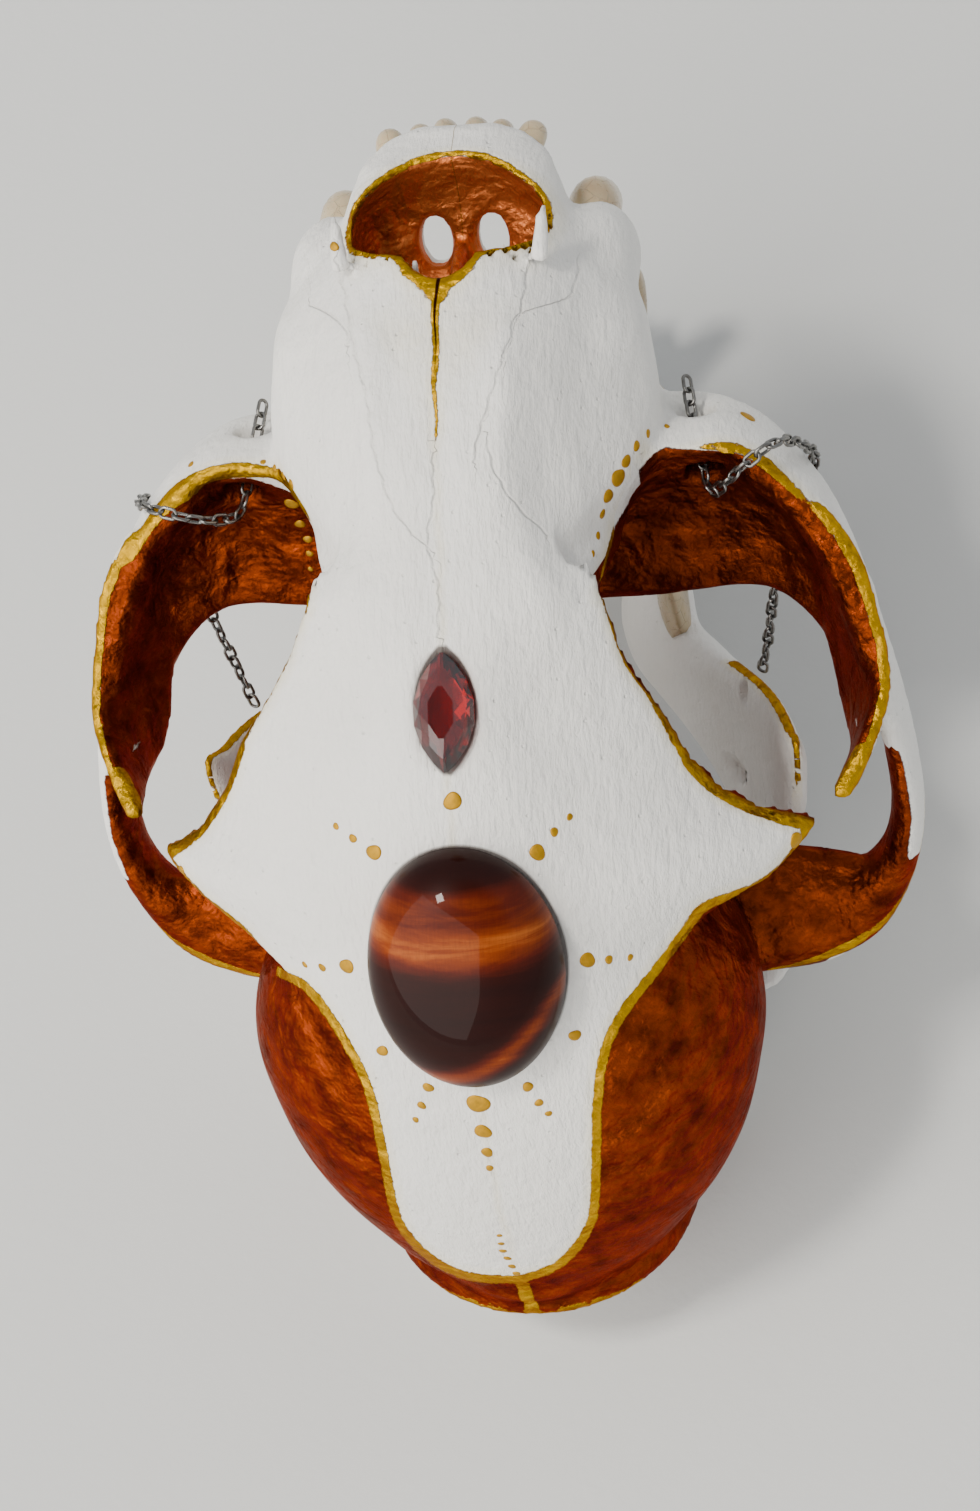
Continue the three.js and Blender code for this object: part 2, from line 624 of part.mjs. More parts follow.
// The skull, put together.

const tilt = THREE.MathUtils.degToRad(NOSE_UP);
const gape = THREE.MathUtils.degToRad(GAPE);

const head = new THREE.Group();
head.position.set(...ORIGIN_ON_TABLE);
head.rotation.x = tilt;

const jaw = new THREE.Group();
jaw.position.set(...JAW_JOINT);
jaw.rotation.x = -gape;
head.add(jaw);
head.updateMatrixWorld(true);

// What is below the table, in a group's own frame. Bone that would reach into it is worn to a small flat.
function belowTable(group) {
  const depth = 60;
  const slab = new THREE.BoxGeometry(300, 300, depth).translate(0, 0, -depth / 2);
  return solid(slab.applyMatrix4(group.matrixWorld.clone().invert()));
}

function cranium() {
  const grown = joined([
    ...[muzzle(), sphenoid(), braincase(), brow(), palate(), nuchalCrest()].map(solid),
    ...[canineSwelling(), cheekRoot(), cheekArch(), cheekHorn()].flatMap(bothSides),
    ...base(),
  ]);
  const sockets = Object.values(upperTeeth).flatMap((tooth) => bothSides(tooth(GAP)));
  const seats = [solid(cabochonBody(GAP)), solid(gemBody(GAP))];
  const hollows = [solid(nasalCavity()), solid(noseSlit()), ...bores()];
  const cut = joined([...hollows, ...sockets, ...seats, belowTable(head)]);
  return grown.subtract(cut);
}

function jawWithSockets() {
  return Object.values(lowerTeeth).reduce((bone, tooth) => bone.subtract(solid(tooth(GAP))), halfJaw());
}

head.add(piece('cranium', geometryOf(cranium()), whitePaint));
head.add(piece('gem', geometryOf(solid(gemBody(0))), garnet));
head.add(piece('cabochon', geometryOf(solid(cabochonBody(0))), tigerEye));

const rightJaw = geometryOf(jawWithSockets());
jaw.add(piece('mandible_right', geometryOf(solid(rightJaw).subtract(belowTable(jaw))), whitePaint));
jaw.add(piece('mandible_left', geometryOf(solid(mirrored(rightJaw)).subtract(belowTable(jaw))), whitePaint));

for (const side of ['right', 'left']) {
  const turned = (geometry) => geometryOf(solid(side === 'right' ? geometry : mirrored(geometry)));
  for (const [tooth, shape] of Object.entries(upperTeeth)) {
    head.add(piece(`upper_${side}_${tooth}`, turned(shape(0)), enamel));
  }
  for (const [tooth, shape] of Object.entries(lowerTeeth)) {
    jaw.add(piece(`lower_${side}_${tooth}`, turned(shape(0)), enamel));
  }
  head.add(piece(`chain_${side}`, geometryOf(solid(chainBody(chainRoutes[side]))), steel));
}

const skull = new THREE.Group();
skull.name = 'bay_lynx_skull';
skull.add(head);

export default skull;
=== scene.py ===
"""The looks of a painted bay lynx skull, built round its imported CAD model. Metres, in the CAD frame."""
import math

import bmesh
import bpy
import numpy as np
from mathutils import Matrix, Vector
from mathutils.bvhtree import BVHTree


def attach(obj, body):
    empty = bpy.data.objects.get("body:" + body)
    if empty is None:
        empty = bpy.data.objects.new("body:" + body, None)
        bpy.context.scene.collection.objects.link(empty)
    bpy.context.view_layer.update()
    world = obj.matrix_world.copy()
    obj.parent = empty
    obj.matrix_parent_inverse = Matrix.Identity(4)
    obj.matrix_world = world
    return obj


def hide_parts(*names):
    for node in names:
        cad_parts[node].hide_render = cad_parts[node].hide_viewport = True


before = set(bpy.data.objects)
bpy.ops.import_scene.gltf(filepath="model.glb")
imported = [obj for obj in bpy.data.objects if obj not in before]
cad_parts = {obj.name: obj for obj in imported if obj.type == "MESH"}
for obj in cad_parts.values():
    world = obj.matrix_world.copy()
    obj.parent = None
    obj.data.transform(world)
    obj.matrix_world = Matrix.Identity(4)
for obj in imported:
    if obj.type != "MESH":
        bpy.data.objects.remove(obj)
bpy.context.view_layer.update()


# Cranium. One bone, thin and hard, grown in one piece. It was bleached and brushed with matt white
# paint; its edges then got gold paint, and its nose, eye sockets and temples a copper bronze one.

MM = 0.001
NOSE_UP = math.radians(43.3)
ORIGIN_ON_TABLE = np.array([0.0, -18.55, 27.3])
CRANIUM_STEP = 0.75


def smooth(at, knots, values):
    """Cubic through knots: h00*v0 + h10*s0*w + h01*v1 + h11*s1*w, with slopes s from the neighbours."""
    knots, values = np.asarray(knots, float), np.asarray(values, float)
    if knots[0] > knots[-1]:
        knots, values = knots[::-1], values[::-1]
    at = np.clip(at, knots[0], knots[-1])
    slopes = np.gradient(values, knots)
    span = np.clip(np.searchsorted(knots, at) - 1, 0, len(knots) - 2)
    width = knots[span + 1] - knots[span]
    t = (at - knots[span]) / width
    return ((2 * t**3 - 3 * t**2 + 1) * values[span] + (t**3 - 2 * t**2 + t) * width * slopes[span]
            + (3 * t**2 - 2 * t**3) * values[span + 1] + (t**3 - t**2) * width * slopes[span + 1])


def finer(line, count=60):
    """More points on a smooth curve through a line's points."""
    line = np.array(line, float)
    steps, fine = np.arange(len(line)), np.linspace(0, len(line) - 1, count)
    return np.stack([smooth(fine, steps, line[:, k]) for k in range(line.shape[1])], axis=1)


def lattice(low, high, step):
    """Open grids of x, y and z in mm from low to high, that broadcast to a block."""
    axes = [np.arange(a, b + step, step) for a, b in zip(low, high)]
    return axes[0][:, None, None], axes[1][None, :, None], axes[2][None, None, :]


def evened(form, step):
    """form / |gradient of form|: about the distance in mm to the surface where form is 0."""
    slope = np.sqrt(sum(part**2 for part in np.gradient(form, step)))
    return form / np.maximum(slope, 0.02)


def hull(x, y, z, stations, pinch=0.0, middle=0.0):
    """(|u|^p + |v|^p)^(1/p) - 1 of an oval that changes along y: u across, v up, p its squareness."""
    along, half, top, bottom, power = (np.array(column) for column in zip(*stations))
    half, top, bottom, power = (smooth(y, along, column) for column in (half, top, bottom, power))
    up = (z - (top + bottom) / 2) / np.maximum((top - bottom) / 2, 0.2)
    across = (x - middle) / np.maximum(half * (1 - pinch * np.clip(up, -1, 1)), 0.2)
    form = (np.abs(across) ** power + np.abs(up) ** power + 1e-9) ** (1 / power) - 1
    return np.maximum(form, np.maximum(along.min() - y, y - along.max()) * 0.2 + 0 * form)


def ball(x, y, z, centre, radii):
    """sqrt(sum of ((p - centre) / radii)^2) - 1."""
    return np.sqrt(((x - centre[0]) / radii[0])**2 + ((y - centre[1]) / radii[1])**2
                   + ((z - centre[2]) / radii[2])**2) - 1


def rod(x, y, z, start, end, radius):
    """Distance to the line from start to end, less the radius."""
    start, reach = np.array(start), np.array(end) - np.array(start)
    off = [x - start[0], y - start[1], z - start[2]]
    share = np.clip(sum(o * r for o, r in zip(off, reach)) / (reach @ reach), 0, 1)
    return np.sqrt(sum((o - share * r)**2 for o, r in zip(off, reach))) - radius


def bar(x, y, z, points, samples=48):
    """Least over points of the curve of |off| (1 - 1/q), with q the length of (off.side / reach,
    off.up / rise, off.along / reach)."""
    points = np.array(points, float)
    steps = np.arange(len(points))
    fine = np.linspace(0, len(points) - 1, samples)
    curve = np.stack([smooth(fine, steps, points[:, k]) for k in range(5)], axis=1)
    tangents = np.gradient(curve[:, :3], axis=0)
    spacing = np.linalg.norm(tangents, axis=1)
    tangents = tangents / spacing[:, None]
    nearest = np.full(np.broadcast_shapes(x.shape, y.shape, z.shape), 1e3)
    for (px, py, pz, reach, rise), along, gap in zip(curve, tangents, spacing):
        side = np.cross(along, (0, 0, 1))
        side = side / np.linalg.norm(side)
        up = np.cross(side, along)
        off = [x - px, y - py, z - pz]
        parts = [sum(o * a for o, a in zip(off, axis)) for axis in (side, up, along)]
        q = np.sqrt((parts[0] / reach)**2 + (parts[1] / rise)**2 + (parts[2] / max(reach, gap))**2) + 1e-6
        nearest = np.minimum(nearest, np.sqrt(sum(o**2 for o in off)) * (1 - 1 / q))
    return nearest


def polygon(px, py, corners):
    """Signed distance in a plane to a closed outline: the nearest edge's distance, negative inside."""
    corners = np.array(corners, float)
    nearest = np.full(np.broadcast_shapes(px.shape, py.shape), 1e9)
    inside = np.zeros(nearest.shape, bool)
    for a, b in zip(corners, np.roll(corners, -1, axis=0)):
        run = b - a
        share = np.clip(((px - a[0]) * run[0] + (py - a[1]) * run[1]) / max(run @ run, 1e-9), 0, 1)
        gap = (px - a[0] - share * run[0])**2 + (py - a[1] - share * run[1])**2
        nearest = np.minimum(nearest, gap)
        crosses = (a[1] > py) != (b[1] > py)
        inside ^= crosses & (px < a[0] + (py - a[1]) * run[0] / (run[1] if run[1] else 1e-9))
    return np.sqrt(nearest) * np.where(inside, -1, 1)


def joined(a, b, blend):
    """Smooth least: b + (a - b) h - blend h (1 - h), h = 1/2 + (b - a) / (2 blend) kept in 0..1."""
    share = np.clip(0.5 + 0.5 * (b - a) / blend, 0, 1)
    return b + (a - b) * share - blend * share * (1 - share)


def cut(a, b, blend):
    """a without b: -joined(-a, b)."""
    return -joined(-a, b, blend)


def skin(form, low, step):
    """Surface nets: a corner in each cell that the surface crosses, at the mean of its crossings, and
    a quad over each lattice edge whose ends lie on different sides."""
    inside = form < 0
    shape = np.array(form.shape) - 1
    offsets = [np.array(o) for o in np.ndindex(2, 2, 2)]

    def part(block, o):
        """The block's values at one of the eight corners of every cell."""
        return block[o[0]:o[0] + shape[0], o[1]:o[1] + shape[1], o[2]:o[2] + shape[2]]

    count = sum(part(inside, o).astype(np.int8) for o in offsets)
    cells = np.argwhere((count > 0) & (count < 8))
    number = np.full(shape, -1, np.int64)
    number[tuple(cells.T)] = np.arange(len(cells))
    total, hits = np.zeros((len(cells), 3)), np.zeros((len(cells), 1))
    for axis in range(3):
        ahead = np.eye(3, dtype=int)[axis]
        for o in offsets:
            if o[axis]:
                continue
            near, far = form[tuple((cells + o).T)], form[tuple((cells + o + ahead).T)]
            crosses = ((near < 0) != (far < 0))[:, None]
            share = (near / np.where(near == far, 1, near - far))[:, None]
            total += np.where(crosses, o + share * ahead, 0)
            hits += crosses
    points = low + (cells + total / hits) * step
    quads = []
    for axis in range(3):
        first, second = (axis + 1) % 3, (axis + 2) % 3
        ends = [slice(1, -1)] * 3
        ends[axis] = slice(0, -1)
        here = inside[tuple(ends)]
        ends[axis] = slice(1, None)
        there = inside[tuple(ends)]
        for out, flip in ((here & ~there, False), (~here & there, True)):
            at = np.argwhere(out)
            at[:, first] += 1
            at[:, second] += 1
            turn = [np.zeros(3, int) for _ in range(4)]
            turn[1][first] = turn[2][first] = turn[2][second] = turn[3][second] = -1
            ring = [number[tuple((at + t).T)] for t in turn]
            quads.append(np.stack(ring[::-1] if flip else ring, axis=1))
    return points, np.concatenate(quads)


def on_table(points):
    """P' = Rx(nose up) P + origin, in mm: from the cranium's frame to the row's."""
    c, s = math.cos(NOSE_UP), math.sin(NOSE_UP)
    x, y, z = np.moveaxis(np.asarray(points, float), -1, 0)
    return np.stack([x, y * c - z * s, y * s + z * c], axis=-1) + ORIGIN_ON_TABLE


def mesh_piece(name, points, faces, material, is_smooth=True, attributes=None, replaced=()):
    """A mesh object at the origin from points in mm in the row frame; attributes are floats per point."""
    mesh = bpy.data.meshes.new(name)
    mesh.from_pydata((np.asarray(points) * MM).tolist(), [], np.asarray(faces).tolist()
                     if isinstance(faces, np.ndarray) else faces)
    for key, values in (attributes or {}).items():
        layer = mesh.attributes.new(key, "FLOAT", "POINT")
        layer.data.foreach_set("value", np.ascontiguousarray(values, np.float32))
    mesh.polygons.foreach_set("use_smooth", np.full(len(mesh.polygons), is_smooth))
    mesh.materials.append(material)
    mesh.update()
    piece = bpy.data.objects.new(name, mesh)
    bpy.context.scene.collection.objects.link(piece)
    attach(piece, "root")
    if replaced:
        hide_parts(*replaced)
    return piece


def linear(code):
    """sRGB hex to linear: c / 12.92 up to 0.04045, else ((c + 0.055) / 1.055)^2.4."""
    shares = [int(code[i:i + 2], 16) / 255 for i in (1, 3, 5)]
    return (*[c / 12.92 if c <= 0.04045 else ((c + 0.055) / 1.055) ** 2.4 for c in shares], 1.0)


def add(tree, kind, values=None, **settings):
    """One shader node: settings are its properties, values its inputs, each a number or another's output."""
    made = tree.nodes.new(kind)
    for key, value in settings.items():
        setattr(made, key, value)
    for key, value in (values or {}).items():
        if isinstance(value, bpy.types.NodeSocket):
            tree.links.new(value, made.inputs[key])
        else:
            made.inputs[key].default_value = value
    return made


def math_node(tree, operation, *values, clamp=False):
    """One sum on two or three values, kept in 0..1 if clamp is set."""
    made = add(tree, "ShaderNodeMath", dict(enumerate(values)), operation=operation, use_clamp=clamp)
    return made.outputs[0]


def mixed(tree, share, a, b):
    """Colour a where share is 0 and b where it is 1."""
    return add(tree, "ShaderNodeMix", {0: share, 6: a, 7: b}, data_type="RGBA").outputs[2]


def noise(tree, where, per_mm, detail=4.0, rough=0.55, stretch=(1, 1, 1), twist=0.0):
    """Noise of per_mm cells in a mm, in Object coordinates, stretched along the axes."""
    grid = add(tree, "ShaderNodeMapping", {"Vector": where, "Scale": stretch}).outputs[0]
    return add(tree, "ShaderNodeTexNoise", {"Vector": grid, "Scale": per_mm / MM, "Detail": detail,
                                            "Roughness": rough, "Distortion": twist}).outputs[0]


def below(tree, depth, edge=0.1):
    """1 where depth in mm is under 0, through a soft edge that many mm wide."""
    return math_node(tree, "MULTIPLY_ADD", depth, -1 / edge, 0.5, clamp=True)


def new_material(name):
    """A material with its tree, its shader and the Object coordinates."""
    material = bpy.data.materials.new(name)
    material.use_nodes = True
    tree = material.node_tree
    shader = next(n for n in tree.nodes if n.type == "BSDF_PRINCIPLED")
    return material, tree, shader, add(tree, "ShaderNodeTexCoord").outputs["Object"]


def wire(tree, shader, **inputs):
    """Links or sets the shader's inputs by name, with _ for a space."""
    for key, value in inputs.items():
        socket = shader.inputs[key.replace("_", " ")]
        if isinstance(value, bpy.types.NodeSocket):
            tree.links.new(value, socket)
        else:
            socket.default_value = value


PAINT_DEPTHS = ("roof", "roof_line", "bay", "under", "gold", "lip", "nose", "crack", "crack_half", "shade")
SEAM_NAMES = [f"seam_{number}" for number in range(6)]


def painted_bone():
    """Matt white wall paint brushed on bone, with gold on the edges and copper bronze in the hollows; painted
    shade round the stones and down the slit between the nasal bones, and painted light on the copper inside
    the nose.
    """
    material, tree, shader, where = new_material("painted_bone")
    depth = {key: add(tree, "ShaderNodeAttribute", attribute_name=key).outputs["Fac"]
             for key in (*PAINT_DEPTHS, *SEAM_NAMES)}

    def least(*parts):
        """The least of several values."""
        if len(parts) == 1:
            return parts[0]
        return math_node(tree, "MINIMUM", parts[0], least(*parts[1:]))

    def band(middle, half):
        """|middle| - half: the depth inside a band along the line where middle is 0."""
        return math_node(tree, "SUBTRACT", math_node(tree, "ABSOLUTE", depth[middle]), depth[half])

    ragged = noise(tree, where, 0.9, detail=5)
    ragged_fine = noise(tree, where, 2.6, detail=3)
    wander = math_node(tree, "ADD", math_node(tree, "MULTIPLY_ADD", ragged, 0.9, -0.45),
                       math_node(tree, "MULTIPLY_ADD", ragged_fine, 0.5, -0.25))
    outside_white = math_node(tree, "MULTIPLY", depth["roof"], -1.0)
    bays = math_node(tree, "MAXIMUM", depth["bay"], least(outside_white, depth["under"]))
    coppered = least(bays, depth["nose"])
    in_copper = below(tree, math_node(tree, "MULTIPLY_ADD", wander, 0.4, coppered))
    gilded = least(depth["gold"], depth["lip"], band("roof", "roof_line"), band("crack", "crack_half"))
    in_gold = below(tree, math_node(tree, "MULTIPLY_ADD", wander, 0.55, gilded), 0.08)

    cloudy = noise(tree, where, 0.09, detail=3)
    strokes = noise(tree, where, 1.1, detail=6, rough=0.65, stretch=(1.6, 0.35, 0.6))
    white = mixed(tree, cloudy, linear("#f0eee9"), linear("#e2dfd8"))
    white = mixed(tree, math_node(tree, "MULTIPLY", strokes, 0.35), white, linear("#f5f4f0"))
    tint = math_node(tree, "MULTIPLY_ADD", gilded, -0.9, 1.0, clamp=True)
    tint = math_node(tree, "MULTIPLY", tint, math_node(tree, "MULTIPLY", ragged, 0.5))
    white = mixed(tree, tint, white, linear("#e0cd7c"))
    seam = least(*[math_node(tree, "ABSOLUTE", depth[key]) for key in SEAM_NAMES])
    gap = math_node(tree, "MULTIPLY_ADD", ragged_fine, 0.3, math_node(tree, "SUBTRACT", seam, 0.26))
    line = below(tree, gap, 0.22)
    white = mixed(tree, math_node(tree, "MULTIPLY", line, 0.1), white, linear("#8f8a7e"))

    blotch = noise(tree, where, 0.28, detail=5, rough=0.6)
    copper = mixed(tree, math_node(tree, "MULTIPLY_ADD", blotch, 2.4, -0.7, clamp=True),
                   linear("#461505"), linear("#943c13"))
    # Painted light: inside the nose the copper is mixed towards pale orange #f08a48 and made less metallic,
    # for the light that falls in through its mouth.
    nose_painted_light = below(tree, depth["nose"])
    copper = mixed(tree, math_node(tree, "MULTIPLY", nose_painted_light, 0.55), copper, linear("#f08a48"))
    gold = mixed(tree, ragged, linear("#7d5f04"), linear("#dba80a"))
    metal = mixed(tree, in_gold, copper, gold)
    in_metal = math_node(tree, "MAXIMUM", in_copper, in_gold)
    colour = mixed(tree, in_metal, white, metal)
    # Painted shade: the bone turns near black brown #2a0f06 under and just round the rims of the cabochon and
    # the gem, where shadow falls.
    dark = math_node(tree, "MULTIPLY", below(tree, depth["shade"], 0.25), 0.85)
    # Painted shade down the middle of the slit between the nasal bones, where the gap is too thin to cut.
    painted_slit_shade = below(tree, math_node(tree, "SUBTRACT", math_node(tree, "ABSOLUTE", depth["crack"]),
                                 math_node(tree, "MULTIPLY_ADD", depth["crack_half"], 0.9, -0.24)), 0.1)
    colour = mixed(tree, math_node(tree, "MAXIMUM", dark, painted_slit_shade), colour, linear("#2a0f06"))

    lumps = noise(tree, where, 0.24, detail=3, rough=0.5, twist=0.3)
    wrinkle = noise(tree, where, 1.0, detail=6, rough=0.62, twist=0.6)
    pits = add(tree, "ShaderNodeTexVoronoi", {"Vector": where, "Scale": 0.55 / MM}).outputs["Distance"]
    pit = math_node(tree, "MULTIPLY_ADD", pits, -9.0, 1.0, clamp=True)
    paint_height = math_node(tree, "MULTIPLY_ADD", strokes, 2.2, math_node(tree, "MULTIPLY", pit, -1.2))
    paint_height = math_node(tree, "MULTIPLY_ADD", line, -1.1, paint_height)
    paint_height = math_node(tree, "MULTIPLY_ADD", noise(tree, where, 0.35, detail=3), 3.2, paint_height)
    metal_height = math_node(tree, "MULTIPLY_ADD", lumps, 12.0, math_node(tree, "MULTIPLY", wrinkle, 1.9))
    height = add(tree, "ShaderNodeMix", {0: in_metal, 2: paint_height, 3: metal_height}).outputs[0]
    height = math_node(tree, "MULTIPLY_ADD", in_gold, 0.8, height)
    bump = add(tree, "ShaderNodeBump", {"Height": height, "Distance": 0.14 * MM, "Strength": 1.0}).outputs[0]
    paint_rough = math_node(tree, "MULTIPLY_ADD", strokes, 0.2, 0.42)
    metal_rough = math_node(tree, "MULTIPLY_ADD", ragged_fine, 0.25, 0.2)
    rough = add(tree, "ShaderNodeMix", {0: in_metal, 2: paint_rough, 3: metal_rough}).outputs[0]
    # Less metallic inside the nose, as part of the painted light there.
    metal_share = math_node(tree, "MULTIPLY_ADD", nose_painted_light, -0.17, 0.92)
    wire(tree, shader, Base_Color=colour, Roughness=rough, Normal=bump,
         Metallic=math_node(tree, "MULTIPLY", in_metal, metal_share),
         Specular_Tint=mixed(tree, in_metal, linear("#ffffff"), linear("#d09880")))
    return material


# The skull's main forms, each in stations: y, half the width, top, bottom and squareness.
MUZZLE = [
    (45, 14.0, 32.6, 4, 2.6), (50, 16.0, 32.0, 1, 2.4), (54, 18.6, 31.6, -1, 2.3),
    (58, 19.4, 31.1, -1.5, 2.2), (64, 19.0, 28.4, -1.8, 2.2), (70, 17.6, 24.4, -2, 2.2),
    (74, 14.4, 20.9, -2.2, 2.3), (77.4, 11.5, 18.2, -2.4, 2.4), (81, 9.9, 14.6, -2.5, 2.5),
    (84.0, 7.8, 5.2, -2.6, 2.6), (85.1, 6.2, 2.0, -2.4, 2.6), (85.9, 3.6, 0.8, -2.0, 2.4)]
SPHENOID = [
    (-4, 16, 36, -2, 2.4), (8, 16.5, 37, -1, 2.4), (16, 15.6, 37, 0, 2.6), (24, 13.4, 37, 1.5, 2.8),
    (32, 12.2, 36, 2, 3), (40, 12.6, 34.4, 1, 3), (48, 14.4, 31.0, 0, 2.8)]
BRAINCASE = [
    (-37.8, 5.0, 23.0, 5, 2.2), (-37.2, 6.5, 24.6, 4, 2.2), (-34, 13.2, 27.4, -1, 2.2),
    (-28, 19.2, 31.4, -4, 2.2), (-20, 23.8, 36.0, -5, 2.2), (-12, 26.1, 39.2, -5, 2.2),
    (-5, 27.1, 41.0, -4.4, 2.2), (2, 25.9, 42.0, -3.6, 2.3), (10, 21.6, 42.2, -2, 2.4),
    (18, 17.6, 41.6, 0, 2.6)]
PALATE = [
    (36.4, 17.5, 3.6, -0.6, 4), (39, 21.2, 5, -1.4, 4), (44, 22.6, 6, -1.6, 4), (50, 22.0, 7, -1.6, 4),
    (57, 19.4, 8, -1.8, 4), (66, 17.0, 8, -2, 4), (72, 15.6, 8, -2.2, 3.4), (76, 11.4, 7, -2.6, 3),
    (82, 8.6, 5, -2.8, 3)]
NOSE = [
    (51, 4.4, 27.6, 12, 2.4), (58, 7.4, 28.6, 5, 2.4), (64, 9.6, 26.2, 3.4, 2.5),
    (70, 10.6, 22.6, 2.2, 2.6), (75, 10.2, 17.6, 1.4, 2.7), (78, 9.8, 17.4, 1.4, 2.6),
    (80.5, 9.0, 22.0, 2.2, 2.4), (84.2, 6.7, 28.0, 4.4, 2.2), (92, 9.0, 34.0, 7.4, 2.2)]
# The roof along the midline: y, height.
ROOFLINE = [
    (61, 28.0), (57, 30.2), (54, 31.9), (50, 34.0), (46, 36.0), (42, 37.6), (37, 39.4), (32, 40.8),
    (27, 41.6), (23.4, 42.0), (19, 42.3), (13.6, 42.3), (7, 41.9), (1, 41.1), (-6, 39.4)]
# The roof's edge over each eye and temple: x, y, z. It runs from the face to the horn's tip and back.
EDGE_RIGHT = [
    (12.0, 61, 21.0), (13.4, 54, 25.6), (14.3, 50, 28.2), (15.0, 45.9, 30), (16.7, 39.6, 31),
    (19.3, 34.6, 30.5), (22.2, 28.1, 29.5), (24.9, 24.3, 28.5), (28.7, 21.6, 27.5), (32.6, 20.0, 26.6),
    (34.3, 19.1, 26.2), (33.2, 17.8, 26.4), (29.3, 14.3, 28.5), (23.8, 12.6, 31.6), (20.6, 10.2, 33.8),
    (17.6, 7.2, 36), (14.2, 3.2, 38), (12.3, -0.5, 38.5), (11.4, -6, 38)]
EDGE_LEFT = [
    (-12.0, 61, 21.0), (-13.4, 54, 25.6), (-14.0, 50, 28.2), (-14.7, 45.7, 30), (-16.6, 41, 31),
    (-19.3, 36.6, 30.8), (-23, 31.3, 30), (-25.4, 25.9, 28.5), (-28.9, 21.1, 27.5), (-32.0, 18.9, 26.6),
    (-33.6, 18.0, 26.2), (-32.6, 16.8, 26.4), (-29.5, 14.1, 28.5), (-24.4, 11.2, 31.6), (-20.8, 8.6, 33.8),
    (-17.5, 6.0, 36), (-13.9, 2, 38), (-12.1, -2.5, 38.5), (-11.5, -6, 38)]
# The cheek arch: x, y, z of its axis, its reach to the side and its rise.
ARCH_RIGHT = [
    (29.6, 52.0, 8.6, 2.6, 5.6), (33.6, 48.2, 8.8, 2.3, 5.8), (36.8, 41.8, 9.2, 2.0, 5.8),
    (39.2, 34.0, 9.6, 1.8, 5.6), (41.0, 27.0, 9.4, 1.7, 5.4), (42.2, 20.0, 8.6, 1.7, 4.6),
    (42.6, 13.0, 7.4, 1.8, 4.0), (41.4, 7.0, 6.2, 2.2, 3.6), (38.2, 2.4, 5.4, 3.6, 3.0),
    (33.5, 0.6, 5.2, 6.2, 2.7), (27.5, 0.4, 5.8, 7.4, 3.0), (20.0, 0.4, 7.0, 7.6, 3.6)]
# The thin blade that the arch sends up towards the roof's horn: its upper edge and its foot.
BLADE_TOP = [
    (35.4, 48.0, 14.2), (37.1, 45.4, 14.7), (38.6, 42.4, 15.0), (39.6, 39.0, 15.1), (40.7, 34.0, 15.4),
    (41.0, 29.8, 17.0), (39.9, 26.4, 19.4), (38.3, 23.5, 21.8), (36.7, 21.3, 23.8)]
BLADE_FOOT = [
    (34.0, 45.0, 8.6), (35.2, 42.4, 8.2), (36.0, 39.5, 7.8), (35.6, 35.0, 6.8), (36.0, 30.5, 6.2),
    (36.8, 25.6, 6.6), (37.6, 22.8, 8.6), (38.2, 21.6, 12.4), (37.6, 21.4, 18.6)]
# The floor of the eye socket and the cheek's root: x, then the front and rear edges in y, the rim's
# height, the floor's height at its rear edge, and the underside.
ROOT = [
    (11, 55.6, 36.4, 16.5, 4.5, -0.8), (17, 56.6, 36.0, 16.0, 4.0, -1.0), (22, 57.2, 36.0, 14.8, 3.8, -0.6),
    (26.4, 57.0, 36.4, 14.4, 3.8, 1.8), (30.4, 54.6, 35.6, 14.4, 4.4, 2.4),
    (34, 50.0, 32.4, 14.6, 5.4, 2.8), (37, 43.6, 27.4, 14.8, 6.8, 3.6), (39.5, 37.5, 22.5, 15.0, 7.6, 4.6)]


def mirror(points):
    """The points on the other side of the skull."""
    return [(-point[0], *point[1:]) for point in points]


low = np.array([-46.5, -42.75, -16.5])
X, Y, Z = lattice(low, (46.5, 88.5, 50.25), CRANIUM_STEP)


def part_of(low_corner, high_corner):
    """The slices of the block between two corners, with their x, y and z."""
    found = [slice(max(int((a - o) / CRANIUM_STEP), 0), int((b - o) / CRANIUM_STEP) + 2)
             for a, b, o in zip(low_corner, high_corner, low)]
    return tuple(found), X[found[0]], Y[:, found[1]], Z[:, :, found[2]]


def put(block, low_corner, high_corner, shape, blend, is_even=True):
    """Joins a shape to the block inside a box that holds it with room round it."""
    where, x, y, z = part_of(low_corner, high_corner)
    form = shape(x, y, z)
    form = evened(form, CRANIUM_STEP) if is_even else form
    block[where] = joined(block[where], form, blend)
    return block


bone = np.full((X.size, Y.size, Z.size), 9.0)
for stations, pinch in ((MUZZLE, 0.2), (SPHENOID, 0), (BRAINCASE, 0), (PALATE, 0)):
    ys = [s[0] for s in stations]
    put(bone, (-46, min(ys) - 5, -16), (46, max(ys) + 5, 50),
        lambda x, y, z: hull(x, y, z, stations, pinch), 2.6)

